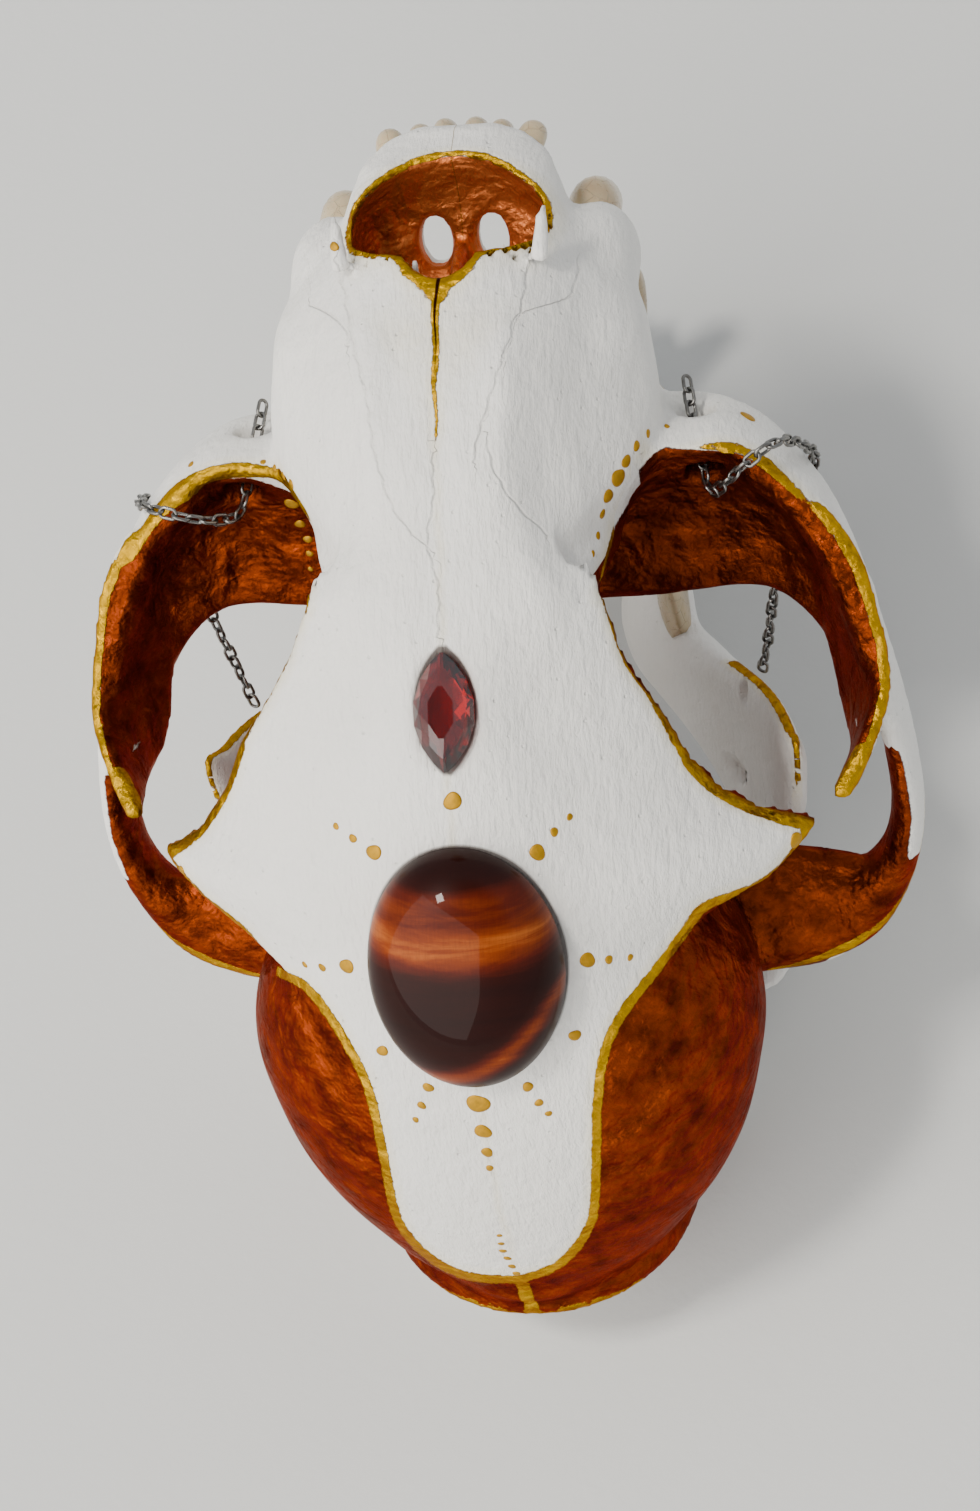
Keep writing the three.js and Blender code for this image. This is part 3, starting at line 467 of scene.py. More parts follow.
# The roof: between the two edges in plan, from its crown down to its thin rim.
plan_x, plan_y = X[:, :, 0], Y[:, :, 0]
roof_plan = polygon(plan_x, plan_y, [p[:2] for p in EDGE_RIGHT] + [p[:2] for p in EDGE_LEFT[::-1]])
edge_side = []
for edge in (EDGE_RIGHT, EDGE_LEFT):
    ordered = sorted(edge, key=lambda p: p[1])
    ys = [p[1] for p in ordered]
    edge_side.append([np.interp(plan_y, ys, [abs(p[k]) for p in ordered]) for k in (0, 2)])
half, rim = (np.where(plan_x > 0, edge_side[0][k], edge_side[1][k]) for k in (0, 1))
crown = smooth(plan_y, *zip(*ROOFLINE))
share = np.clip(np.abs(plan_x) / half, 0, 1.15)
roof_top = crown - (crown - rim) * share**2.1
roof_top = sum(np.roll(roof_top, k, axis=1) for k in (-2, -1, 0, 1, 2)) / 5
dip = np.exp(-((np.abs(plan_x) - 12.5) / 5.5)**2 - ((plan_y - 31) / 9)**2)
roof_top = roof_top - 1.1 * dip
roof_under = roof_top - np.interp(plan_y, [30, 36], [2.5, 1.9]) - 5.5 * np.clip(1 - share, 0, 1)**1.4
roof = np.maximum(Z - roof_top[:, :, None], roof_under[:, :, None] - Z) * 0.8
roof = -joined(-roof, -roof_plan[:, :, None] - 0 * Z, 0.6)
bone = joined(bone, roof, 1.3)
del roof


def cheek_root(x, y, z):
    """Under a floor that rises as 0.3 t + 0.7 t^3 from the rear edge to the rim, over the underside."""
    across = np.array([p[0] for p in ROOT])
    front, rear, rim_z, floor, under = (smooth(np.abs(x), across, [p[k] for p in ROOT]) for k in range(1, 6))
    t = np.clip((y - rear) / (front - 2.2 - rear), -0.3, 1.02)
    top = floor + (rim_z - floor) * (0.3 * t + 0.7 * np.sign(t) * np.abs(t)**3)
    top = top - np.maximum(y - front + 2.2, 0) * 1.6
    form = -joined(-(z - top) * 0.55, -(under - z), 1.0)
    form = -joined(-form, -(rear - y) * 0.9, 1.0)
    form = -joined(-form, front - y, 1.6)
    return np.maximum(form, np.maximum(np.abs(x) - 39.8, 9 - np.abs(x)))


def x_range(side, near, far):
    """The x range from near to far on one side of the skull."""
    return min(side * near, side * far), max(side * near, side * far)


for side in (1, -1):
    x0, x1 = x_range(side, 8, 41)
    put(bone, (x0, 26, -5), (x1, 61, 21), cheek_root, 1.6, is_even=False)
    x0, x1 = x_range(side, 15, 47)
    arch = ARCH_RIGHT if side == 1 else mirror(ARCH_RIGHT)
    put(bone, (x0, -12, -3), (x1, 58, 19), lambda x, y, z: bar(x, y, z, arch, 64), 1.4, is_even=False)
    x0, x1 = x_range(side, 31, 46)
    blade_lines = finer(BLADE_TOP, 38), finer(BLADE_FOOT, 38), np.linspace(0.95, 0.85, 38)
    for (ax, ay, az), (bx, by, bz), radius in zip(*blade_lines):
        ends = (side * ax, ay, az - radius), (side * bx, by, bz)
        put(bone, (x0, 17, 6), (x1, 52, 27), lambda x, y, z: rod(x, y, z, *ends, radius), 0.6, is_even=False)
    lumps = [
        ((side * 13.5, 72.0, 1.2), (4.5, 5.5, 7.8), 1.6),
        ((side * 7.4, -32.6, 0.6), (4.8, 4.2, 6.0), 1.2),
        ((side * 14.0, -17.5, -6.0), (8.0, 11.0, 7.8), 1.4),
        ((side * 20.0, -22.4, -0.6), (3.8, 6.0, 5.4), 2.0),
        ((side * 18.4, -27.4, -2.0), (3.2, 2.6, 7.6), 1.5),
        ((side * 28.5, -6.3, 1.0), (7.2, 1.9, 4.6), 1.2),
        ((side * 7.6, 22.0, -0.6), (1.2, 16.0, 5.4), 1.5)]
    for centre, radii, blend in lumps:
        put(bone, np.array(centre) - radii - 5, np.array(centre) + radii + 5,
            lambda x, y, z: ball(x, y, z, centre, radii), blend)

turn = np.linspace(0, math.pi, 15)
crest = np.stack([15.7 * np.cos(turn), -30.4 - 8.6 * np.sin(turn)**0.6, 5 + 17.2 * np.sin(turn)**0.8,
                  1.25 + 0 * turn, 1.25 + 0 * turn], axis=1)
put(bone, (-24, -42, -2), (24, -22, 32), lambda x, y, z: bar(x, y, z, crest, 40), 2.4, is_even=False)
inner = crest + np.array([0, 3.4, -1.6, 1.6, 1.4])
inner[:, 0] *= 0.97
put(bone, (-24, -42, -2), (24, -20, 32), lambda x, y, z: bar(x, y, z, inner, 40), 3.0, is_even=False)

# Soft relief of the face, alike on both sides: |x|, y, z of its middle, its reach each way, its depth.
RELIEF = [
    ((15.4, 61.0, 25.0), (4.8, 9.0, 8.0), 2.5), ((6.8, 66.0, 26.0), (1.8, 9.0, 6.0), -0.8),
    ((0.0, 62.0, 30.0), (2.2, 9.0, 6.0), 0.5), ((14.2, 69.0, 18.0), (2.8, 5.0, 6.0), 0.9),
    ((8.6, 38.0, 38.0), (3.4, 6.0, 6.0), 0.7), ((0.0, 48.0, 35.5), (4.0, 4.5, 5.0), 0.5),
    ((10.0, 52.0, 33.0), (2.6, 7.0, 6.0), -0.7)]
for (middle_x, middle_y, middle_z), (reach_x, reach_y, reach_z), depth in RELIEF:
    bone += depth * (np.exp(-((np.abs(X) - middle_x) / reach_x)**2) * np.exp(-((Y - middle_y) / reach_y)**2)
                     * np.exp(-((Z - middle_z) / reach_z)**2))

# Hollows: dips in the face in front of the eyes and behind the horns, then the nose and the bores.
for side in (1, -1):
    dips = [((side * 24.5, 64, 22), (7.6, 8.5, 9.5), 3.0), ((side * 13.5, 61, 31.4), (5.5, 12, 6.0), 3.0)]
    for centre, radii, depth in dips:
        where, x, y, z = part_of(np.array(centre) - radii - 4, np.array(centre) + radii + 4)
        bone[where] = cut(bone[where], evened(ball(x, y, z, centre, radii), CRANIUM_STEP), depth)
where, x, y, z = part_of((-16, 48, -2), (16, 88, 36))
outside = bone[where].copy()
nose = evened(hull(x, y, z, NOSE, 0.1), CRANIUM_STEP)
# The nasal bones end in two lobes with a notch between them.
nose = joined(nose, ball(x, y, z, (0, 80.4, 19.5), (4.4, 5.0, 8.0)) * 4.4, 1.2)
nose = joined(nose, rod(x, y, z, (0, 79, 17.6), (0, 75.0, 21.4), 0.8), 0.8)
bone[where] = cut(bone[where], nose, 0.5)
for side in (1, -1):
    put(bone, (side * 10 - 5, 70, 8), (side * 10 + 5, 88, 24),
        lambda x, y, z: bar(x, y, z, [(side * 9.9, 76.8, 16.8, 1.0, 1.0), (side * 10.2, 79.0, 15.9, 0.8, 0.8),
                                      (side * 10.3, 80.8, 15.2, 0.55, 0.55)], 12), 0.5, is_even=False)
# A thin wall of bone stands on the floor of the nose, and scrolls of bone hang in its back.
nose_walls = [((0, 66, 5), (0.8, 9, 7.5)), ((-6, 66, 12), (3.0, 9, 5.5)), ((6, 66, 12), (3.0, 9, 5.5))]
for centre, radii in nose_walls:
    put(bone, np.array(centre) - radii - 3, np.array(centre) + radii + 3,
        lambda x, y, z: ball(x, y, z, centre, radii), 1.0)
# Pale broken ends of those scrolls show in the mouth of the nose.
SCROLLS = [
    (-7.6, 76.2, 14.4), (-5.6, 76.6, 15.8), (-4.4, 76.2, 15.0), (-3.2, 75.6, 13.6), (4.6, 76.2, 14.8),
    (6.2, 76.8, 14.2)]
for tip_x, tip_y, tip_z in SCROLLS:
    put(bone, (tip_x - 4, 66, 4), (tip_x + 4, 82, 22),
        lambda x, y, z: rod(x, y, z, (tip_x * 0.9, 70, tip_z - 2.5), (tip_x, tip_y, tip_z), 0.55),
        0.4, is_even=False)
for side in (1, -1):
    bores = [((side * 2.95, 74.4, -5), (side * 2.95, 74.4, 7), 1.7),
             ((side * 22.2, 60.5, 4.2), (side * 24.7, 48.4, 12.8), 1.9),
             ((side * 21, -2.4, -3), (side * 42, -2.4, -3), 4.2),
             ((side * 10.5, 30, 9), (side * 15, 31, 9), 1.2),
             ((side * 21.5, -13, 1), (side * 17, -14, -1), 1.7)]
    for start, end, radius in bores:
        corners = np.array([start, end])
        where, x, y, z = part_of(corners.min(0) - radius - 3, corners.max(0) + radius + 3)
        stretched = 0.62 * (y - 74.4) + 74.4 if start[1] == 74.4 else y
        bone[where] = cut(bone[where], rod(x, stretched, z, start, end, radius), 0.6)
where, x, y, z = part_of((-10, -43, -2), (10, -26, 16))
bone[where] = cut(bone[where], evened(ball(x, y, z, (0, -36.5, 6.2), (6.0, 7.5, 5.2)), CRANIUM_STEP), 1.0)
# The seat of the gem leans as the forehead does there.
SEAT_LEAN = 0.4014
where, x, y, z = part_of((-6, 28, 33), (6, 48, 46))
leaned_y = (y - 38.0) * math.cos(SEAT_LEAN) - (z - 39.2) * math.sin(SEAT_LEAN)
leaned_z = (y - 38.0) * math.sin(SEAT_LEAN) + (z - 39.2) * math.cos(SEAT_LEAN)
seat = evened(ball(x, leaned_y, leaned_z, (0, 0, 0.4), (3.2, 6.1, 2.6)), CRANIUM_STEP)
bone[where] = cut(bone[where], seat, 0.3)
table_depth = Y * math.sin(NOSE_UP) + Z * math.cos(NOSE_UP) + ORIGIN_ON_TABLE[2]
bone = np.maximum(bone, 0.02 - table_depth)
points, quads = skin(bone, low, CRANIUM_STEP)
del bone, table_depth

# Where each paint goes, in mm to its border, negative inside. What is painted on the roof is drawn as
# seen from the camera's place: along rays from there, slid to one level.
GAZE = np.array([57.0, 162.7, 343.8])
LEVEL = 30.0


def seen(at):
    """Slides points along their rays from the gaze point to one level: x, y."""
    at = np.asarray(at, float)
    share = (LEVEL - GAZE[2]) / (at[..., 2] - GAZE[2])
    return GAZE[0] + (at[..., 0] - GAZE[0]) * share, GAZE[1] + (at[..., 1] - GAZE[1]) * share


def to_line(at, line):
    """Least distance from points to an open line through 3 or 2 coordinates."""
    line = np.array(line, float)
    nearest = np.full(len(at), 1e9)
    for a, b in zip(line, line[1:]):
        run = b - a
        share = np.clip((at - a) @ run / (run @ run), 0, 1)[:, None]
        nearest = np.minimum(nearest, np.linalg.norm(at - a - share * run, axis=1))
    return nearest


# The lines where the white of the roof ends beside the braincase, then the orbits' gilded rims: x, y, z.
TEMPLE_RIGHT = [
    (33.9, 18.7, 26), (29.3, 14.3, 28.5), (23.4, 13.4, 32), (21.5, 11.9, 33.5), (18.4, 8.5, 35.5),
    (14.2, 3.8, 38), (12.3, -0.5, 38.5), (11.2, -6.5, 38), (10.1, -15.8, 36), (8.6, -22.9, 33),
    (4.6, -29.3, 30), (-0.2, -32.5, 28)]
TEMPLE_LEFT = [
    (-33.3, 17.6, 26), (-29.5, 14.1, 28.5), (-24.4, 11.2, 31.6), (-21.8, 8.4, 33.5), (-17.5, 6.5, 35.5),
    (-13.9, 2, 38), (-11.9, -3.5, 38.5), (-11.3, -11.4, 38), (-11.2, -20.9, 35), (-9, -27.1, 32),
    (-5.4, -30.8, 30), (-0.2, -32.5, 28)]
RIM_RIGHT = [
    (19.6, 55.8, 17), (27.9, 55.7, 14.5), (32.7, 52.3, 14.5), (36.6, 47.4, 14.8), (39.2, 41.0, 15.0),
    (40.9, 34.0, 15.4), (41.0, 29.4, 17.0), (39.9, 26.4, 19.4), (38.4, 23.6, 21.8), (36.7, 21.4, 23.6)]
RIM_LEFT = [
    (-16.3, 52.1, 20), (-18.1, 54.2, 17), (-23.7, 54.8, 14.5), (-31.4, 52.5, 14.5), (-36.0, 47.0, 14.8),
    (-39.0, 40.6, 15.0), (-40.9, 34.0, 15.4), (-41.0, 29.4, 17.0), (-39.9, 26.4, 19.4), (-38.4, 23.6, 21.8),
    (-36.7, 21.4, 23.6)]
# The white of the face ends at the eye sockets' front edges, as seen: x and y at the level.
FACE_RIGHT = [
    (30.6, 60.4), (27.3, 61.3), (22.7, 60.9), (21.1, 60.2), (19.5, 58.5), (19.6, 57.3), (19.4, 56.1),
    (18.3, 55.3), (16.9, 53.2), (15.7, 49.7), (15.2, 48.2), (14.6, 45.6)]
FACE_LEFT = [
    (-25.2, 58.9), (-22.0, 59.6), (-18.6, 59.6), (-15.9, 58.6), (-15.2, 56.4), (-15.8, 54.8), (-14.7, 53.3),
    (-14.2, 51.0), (-13.9, 47.8), (-14.4, 45.4)]
roof_sides = []
for face, edge, line in ((FACE_RIGHT, EDGE_RIGHT, TEMPLE_RIGHT), (FACE_LEFT, EDGE_LEFT, TEMPLE_LEFT)):
    behind = seen(np.concatenate([finer(edge[3:11], 40), finer(line, 60)]))
    roof_sides.append(np.concatenate([face, np.stack(behind, axis=1)]))
white_outline = np.concatenate([[(30.6, 75)], roof_sides[0], roof_sides[1][::-1], [(-25.2, 75)]])
seen_x, seen_y = seen(points)
roof = polygon(seen_x, seen_y, white_outline)
roof_line = np.interp(seen_y, [30, 36, 52, 57], [0.5, 0.12, 0.12, 0.42]) - np.where(points[:, 2] < 14, 3, 0)
roof_line = np.where(points[:, 1] > 62, -3, roof_line)
roof_floor = np.interp(points[:, 1], [-34, -20, -6, 5, 12, 18, 24], [20, 26, 32, 31, 27, 22, 18])
roof_line = np.where(points[:, 2] < roof_floor, -3, roof_line)
ordered = sorted(EDGE_RIGHT, key=lambda p: p[1])
roof_rim = np.interp(points[:, 1], [p[1] for p in ordered], [p[2] for p in ordered])
under_roof = points[:, 2] - roof_rim + np.interp(points[:, 1], [45, 48], [2, 14])
under_roof = np.where((points[:, 1] > 56) | (points[:, 1] < -6), 9.0, under_roof)
bay_outline = [
    (9, 57), (17.6, 55.6), (20, 56.4), (28, 55.3), (32.8, 52.2), (36.8, 47.4), (38.8, 42.4), (40.6, 34),
    (41.8, 27), (43.2, 20), (43.8, 13), (42.8, 6), (38.6, 0), (33, -8), (30, -45)]
bay = polygon(points[:, 0], points[:, 1], bay_outline + [(-a, b) for a, b in bay_outline[::-1]])
# The upper side of the arch's rear root is copper out to its edge.
root_top = np.maximum(4.6 - points[:, 2], points[:, 1] - 8)
bay = np.minimum(bay, np.maximum(root_top, np.abs(points[:, 0]) - 44.6))
bay = np.maximum(bay + 0.7, -3.0 - points[:, 2])
# Along the thin blade the border climbs to its upper edge.
blade = sorted(BLADE_TOP, key=lambda p: p[1])
blade_x, blade_z = (np.interp(points[:, 1], [p[1] for p in blade], [p[k] for p in blade]) for k in (0, 2))
inner_face = np.abs(points[:, 0]) - blade_x + 0.1 - 0.2 * np.maximum(points[:, 2] - blade_z, -6)
inner_face = np.minimum(inner_face, np.abs(points[:, 0]) - np.interp(points[:, 1], [25, 27], [38.2, 34]))
bay = np.where((np.abs(points[:, 0]) > 33) & (points[:, 1] > 22) & (points[:, 1] < 46.5), inner_face, bay)


def sampled(form, start, at):
    """Trilinear value of a block of numbers at points."""
    place = (at - start) / CRANIUM_STEP
    base = np.clip(np.floor(place).astype(int), 0, np.array(form.shape) - 2)
    part = np.clip(place - base, 0, 1)
    value = 0
    for corner in np.ndindex(2, 2, 2):
        weight = np.prod(np.where(corner, part, 1 - part), axis=1)
        value = value + weight * form[tuple((base + corner).T)]
    return value


nose_x, nose_y, nose_z = part_of((-16, 48, -2), (16, 88, 36))[1:]
nose_start = np.array([nose_x.ravel()[0], nose_y.ravel()[0], nose_z.ravel()[0]])
in_nose_box = (np.abs(points[:, 0]) < 15.5) & (points[:, 1] > 62) & (points[:, 2] < 35)
nose_wall = np.where(in_nose_box, sampled(nose, nose_start, points), 9.0)
shell = np.where(in_nose_box, sampled(outside, nose_start, points), 9.0)
gold = np.min([to_line(points, finer(rim, 60)) for rim in (RIM_RIGHT, RIM_LEFT)], axis=0)
gold = gold - np.interp(points[:, 1], [46, 50], [0.9, 1.35])
on_blade = np.maximum(blade_x - 0.25 - np.abs(points[:, 0]), blade_z - 1.0 - points[:, 2])
gold = np.where((points[:, 1] < 46) & (points[:, 1] > 21), np.maximum(gold - 0.6, on_blade), gold)
brow_edges = [to_line(points, finer(edge[6:12], 30)) - 0.95 for edge in (EDGE_RIGHT, EDGE_LEFT)]
gold = np.minimum(gold, np.min(brow_edges, axis=0))
blade_tips = [to_line(points, [(s * 38.6, 24.0, 21.2), (s * 36.6, 21.2, 23.9)]) - 1.7 for s in (1, -1)]
gold = np.minimum(gold, np.min(blade_tips, axis=0))
rear_edge = [
    (44.0, 13, 6.6), (43.6, 8, 6.4), (41.4, 1.5, 6.2), (36.2, -3.4, 6.3), (31, -6.4, 6.8), (27, -7.2, 7.3)]
rear_edges = [to_line(points, finer(line, 30)) - 0.85 for line in (rear_edge, mirror(rear_edge))]
gold = np.minimum(gold, np.min(rear_edges, axis=0))
gold = np.minimum(gold, to_line(points, crest[:, :3]) - 1.4)
midline = np.maximum(points[:, 1] + 32.5, 12 - points[:, 2])
gold = np.minimum(gold, np.maximum(np.abs(points[:, 0]) - 0.75, midline))
lip = np.where(in_nose_box, np.maximum(nose_wall - 0.7, -shell - 0.95), 9.0)
nose_copper = np.where(in_nose_box, np.maximum(shell + 0.8, nose_wall - 2.5), 9.0)
for tip_x, tip_y, tip_z in SCROLLS:
    from_scroll = to_line(points, [(tip_x * 0.95, 73, tip_z - 1.5), (tip_x, tip_y, tip_z)]) - 1.0
    nose_copper = np.maximum(nose_copper, -from_scroll)
# The slit between the nasal bones: gold along its edges, and painted shade down its middle.
crack = points[:, 0] - 0.12 * np.sin(seen_y * 0.9)
crack = np.where(points[:, 2] > 14, crack, crack + np.sign(crack) * 9)
crack_half = np.interp(seen_y, [60.5, 63, 72, 84], [-0.4, 0.12, 0.34, 0.62])


# The joints between the bones of the face, as seen: each one's y and x at the level.
SEAMS = [
    [(-7.4, 80.8), (-7.0, 77.0), (-6.8, 72.5), (-6.1, 67.7), (-5.6, 60.3), (-3.6, 54.0), (-0.9, 50.8)],
    [(11.0, 80.4), (9.7, 75.2), (7.9, 71.2), (5.7, 65.9), (4.4, 62.5), (3.7, 59.9)],
    [(5.2, 62.9), (5.7, 59.2), (7.2, 56.0), (10.4, 52.2)],
    [(15.5, 79.6), (14.7, 76.7), (13.5, 75.6), (10.5, 74.9), (8.6, 72.3), (7.3, 70.0)],
    [(-0.2, 61.2), (-0.5, 56.6), (-1.5, 52.5), (-0.9, 47.3), (-1.5, 42.0)],
    [(-10.4, 76.5), (-7.5, 74.3), (-7.4, 71.9)]]
seams = {}
for number, line in enumerate(SEAMS):
    line_x, line_y = np.array(line)[::-1].T
    off = 0.85 * (seen_x - smooth(seen_y, line_y, line_x) - 0.12 * np.sin(seen_y * 2.7 + number))
    past = np.maximum(np.maximum(line_y[0] - seen_y, seen_y - line_y[-1]), 12 - points[:, 2])
    seams[f"seam_{number}"] = off + np.sign(off) * 3 * np.maximum(past, 0)
STONE_MIDDLE = (0.2, 12.2)
GEM_MIDDLE = (0.0, 38.0)
# Painted shade round the stones: negative under and just round the cabochon's rim and the gem's edge, where
# the bone is shaded.
ring = np.hypot((points[:, 0] - STONE_MIDDLE[0]) / 9.95, (points[:, 1] - STONE_MIDDLE[1]) / 12.95) - 1
shade = np.where(points[:, 2] > 36, ring * 11, 9.0)
bow = (np.abs(points[:, 0]) + 4.55)**2 + (points[:, 1] - GEM_MIDDLE[1])**2
from_gem = np.sqrt(bow) - 7.55
shade = np.minimum(shade, np.where(points[:, 2] > 33, np.maximum(from_gem - 0.15, -1.5 - from_gem), 9.0))
bone_material = painted_bone()
paint = (roof, roof_line, bay, under_roof, gold, lip, nose_copper, crack, crack_half, shade)
mesh_piece("cranium_bone", on_table(points), quads, bone_material, replaced=("cranium",),
           attributes={**dict(zip(PAINT_DEPTHS, paint)), **seams})


# Gold dots. Drops of thick gold paint set down one by one with the end of a stick, round the stones,
# down the crown of the head and in a row above each eye. Each dries as a thin round dome.

# Each dot's x and y at the level, as seen, and its radius.
DOTS = [
    (-1.8, 24.6, 0.91), (-10.4, 19.2, 0.82), (-12.4, 20.8, 0.46), (-14.0, 22.2, 0.36), (6.3, 18.7, 0.81),
    (8.2, 20.9, 0.45), (9.9, 22.5, 0.35), (-14.6, 6.4, 0.84), (-17.2, 6.3, 0.47), (-19.0, 6.7, 0.37),
    (10.4, 6.5, 0.82), (12.6, 6.5, 0.46), (14.8, 6.7, 0.36), (-11.9, -3.5, 0.63), (8.4, -2.1, 0.62),
    (-7.5, -7.9, 0.58), (-8.4, -10.0, 0.48), (-9.2, -11.7, 0.37), (3.0, -8.0, 0.58), (4.0, -9.9, 0.47),
    (4.9, -11.2, 0.37), (-2.4, -9.9, 1.16), (-2.2, -13.2, 0.90), (-2.0, -15.7, 0.64), (-1.9, -17.6, 0.43),
    (-1.6, -25.8, 0.32), (-1.5, -26.8, 0.36), (-1.4, -27.7, 0.41), (-1.0, -28.6, 0.43), (-0.6, -29.6, 0.45),
    (-0.2, -30.5, 0.47), (32.3, 19.3, 0.79), (-30.6, 17.8, 0.52), (-16.9, 61.1, 0.35), (-15.9, 60.4, 0.39),
    (-15.1, 59.6, 0.44), (-14.4, 58.7, 0.54), (-14.6, 56.7, 0.89), (-14.0, 54.6, 0.60), (-13.4, 53.0, 0.50),
    (-13.4, 51.5, 0.40), (-13.5, 49.9, 0.30), (22.6, 62.8, 0.33), (20.7, 62.2, 0.43), (19.5, 61.0, 0.53),
    (18.4, 59.5, 0.67), (17.5, 57.9, 0.96), (16.4, 56.1, 0.77), (15.7, 54.3, 0.53), (15.1, 52.1, 0.44),
    (14.5, 50.3, 0.34), (30.3, 63.4, 0.85), (-24.1, 61.2, 0.40), (-7.6, 82.0, 0.48)]
DOT_SIDES = 22


def gold_paint():
    """Thick gold leaf paint: worn, with brighter high spots."""
    material, tree, shader, where = new_material("gold_paint")
    patch = noise(tree, where, 1.4, detail=5)
    colour = mixed(tree, patch, linear("#80600a"), linear("#cf9a0c"))
    bump = add(tree, "ShaderNodeBump", {"Height": patch, "Distance": 0.1 * MM, "Strength": 0.7}).outputs[0]
    wire(tree, shader, Base_Color=colour, Metallic=0.7, Normal=bump,
         Roughness=math_node(tree, "MULTIPLY_ADD", patch, 0.25, 0.4))
    return material


surface = BVHTree.FromPolygons(points.tolist(), quads.tolist())
rings = np.array([0.45, 0.8, 1.0, 1.0])
heights = np.array([0.14, 0.08, 0.02, -0.12])
around = 2 * math.pi * np.arange(DOT_SIDES) / DOT_SIDES
dot_points, dot_faces = [], []
strip = np.arange(DOT_SIDES)
after = (strip + 1) % DOT_SIDES
walls = [np.stack([k * DOT_SIDES + strip, (k + 1) * DOT_SIDES + strip, (k + 1) * DOT_SIDES + after,
                   k * DOT_SIDES + after], axis=1) for k in range(3)]
one_dot = [*np.concatenate(walls).tolist(), strip.tolist(), (3 * DOT_SIDES + strip[::-1]).tolist()]
for number, (dot_x, dot_y, radius) in enumerate(DOTS):
    ray = Vector((dot_x, dot_y, LEVEL)) - Vector(GAZE)
    spot, normal, _, _ = surface.ray_cast(Vector(GAZE), ray.normalized())
    if spot is None:
        continue
    spot, normal = np.array(spot), np.array(normal)
    side = np.cross(normal, (0.0, 1.0, 0.2))
    side /= np.linalg.norm(side)
    ahead = np.cross(normal, side)
    wobble = 1 + 0.08 * np.sin(2 * around + number) + 0.05 * np.sin(3 * around + 2.0 * number)
    spread = radius * rings[:, None] * wobble
    height = heights[:, None] * min(1, radius / 0.5)
    body = (spot + spread[..., None] * (np.cos(around)[:, None] * side + np.sin(around)[:, None] * ahead)
            + height[..., None] * normal).reshape(-1, 3)
    start = len(rings) * DOT_SIDES * len(dot_points)
    dot_points.append(body)
    dot_faces += [[corner + start for corner in face] for face in one_dot]
mesh_piece("gold_dots", on_table(np.concatenate(dot_points)), dot_faces, gold_paint())


# Half jaws. Two bones, left and right, that meet at the chin. Painted white like the cranium, with gold
# on the front edge of the upright blade that the chewing muscle pulls on.

JAW_JOINT = np.array([-0.4, -3.0, -3.0])
GAPE = math.radians(46)
JAW_STEP = 0.62
# The half jaw in stations: y, middle, half the thickness, top and bottom.
JAW = [
    (80.6, 4.6, 3.4, -5.4, -9.6), (78, 5.0, 5.2, -5.2, -13.6), (74, 5.4, 6.2, -5.2, -18.2),
    (69, 6.2, 6.6, -5.2, -20.2), (64, 8.8, 5.0, -5.2, -20.0), (59, 11.6, 3.7, -5.2, -19.2),
    (51, 13.8, 3.4, -5.0, -18.4), (43, 15.0, 3.2, -4.6, -17.8), (36, 16.8, 3.0, -4.0, -17.0),
    (31.4, 19.4, 2.8, -0.4, -16.2), (26.2, 22.0, 2.2, 6.0, -15.2), (21.4, 24.2, 1.9, 12.0, -14.4),
    (16.6, 25.8, 1.7, 17.6, -13.6), (11.4, 27.1, 1.6, 22.0, -12.8), (7.0, 27.9, 1.4, 24.2, -12.0),
    (5.2, 28.2, 1.3, 18.0, -11.6), (3.8, 28.6, 1.3, 7.0, -11.4), (0, 29.0, 1.3, 1.0, -11.0),
    (-3.0, 28.4, 1.1, -7.8, -11.2)]


def in_head(points):
    """P' = Rx(-gape) P + joint: from the jaw's frame to the cranium's."""
    c, s = math.cos(GAPE), math.sin(GAPE)
    x, y, z = np.moveaxis(np.asarray(points, float), -1, 0)
    return np.stack([x, y * c + z * s, -y * s + z * c], axis=-1) + JAW_JOINT


jaw_low = np.array([-0.6, -7.0, -24.0])
x, y, z = lattice(jaw_low, (41, 85, 28), JAW_STEP)
along = np.array([s[0] for s in JAW])
middle, thick, top, bottom = (smooth(y, along, [s[k] for s in JAW]) for k in range(1, 5))
behind_teeth = np.clip((40 - y) / 10, 0, 1)
behind_chin = np.clip((66 - y) / 24, 0, 1) * np.clip((y + 8) / 20, 0, 1)
lean = 0.13 * np.maximum(z + 6, 0) * behind_teeth + 0.4 * np.minimum(z + 4, 0) * behind_chin
up = (z - (top + bottom) / 2) / ((top - bottom) / 2)
to_top = np.clip((z - top + 4) / 4, 0, 1) * behind_teeth
across = (x - middle - lean) / (thick * (1 - 0.4 * to_top))
form = (np.abs(across)**2.4 + np.abs(up)**4.5 + 1e-9)**(1 / 3.2) - 1
form = np.maximum(form, np.maximum(along.min() - y, y - along.max()) * 0.3 + 0 * form)
jaw = evened(form, JAW_STEP)
jaw = joined(jaw, rod(x, y, z, (22.8, 0, 0), (37.2, 0, 0), 3.1), 1.2)
jaw = joined(jaw, evened(ball(x, y, z, (29.2, 0.8, -4.4), (4.2, 3.0, 4.6)), JAW_STEP), 1.5)
jaw = joined(jaw, evened(ball(x, y, z, (25.0, -1.5, -11.5), (3.4, 5.0, 1.8)), JAW_STEP), 1.5)
jaw = cut(jaw, evened(ball(x, y, z, (33.8, 11.5, 3.0), (4.6, 9.5, 12.5)), JAW_STEP), 1.6)
jaw = cut(jaw, rod(x, y, z, (24, 18, -6.5), (16, 22, -9.5), 1.2), 0.6)
jaw = cut(jaw, rod(x, y, z, (12, 66.5, -13), (16, 66, -12.5), 1.0), 0.6)
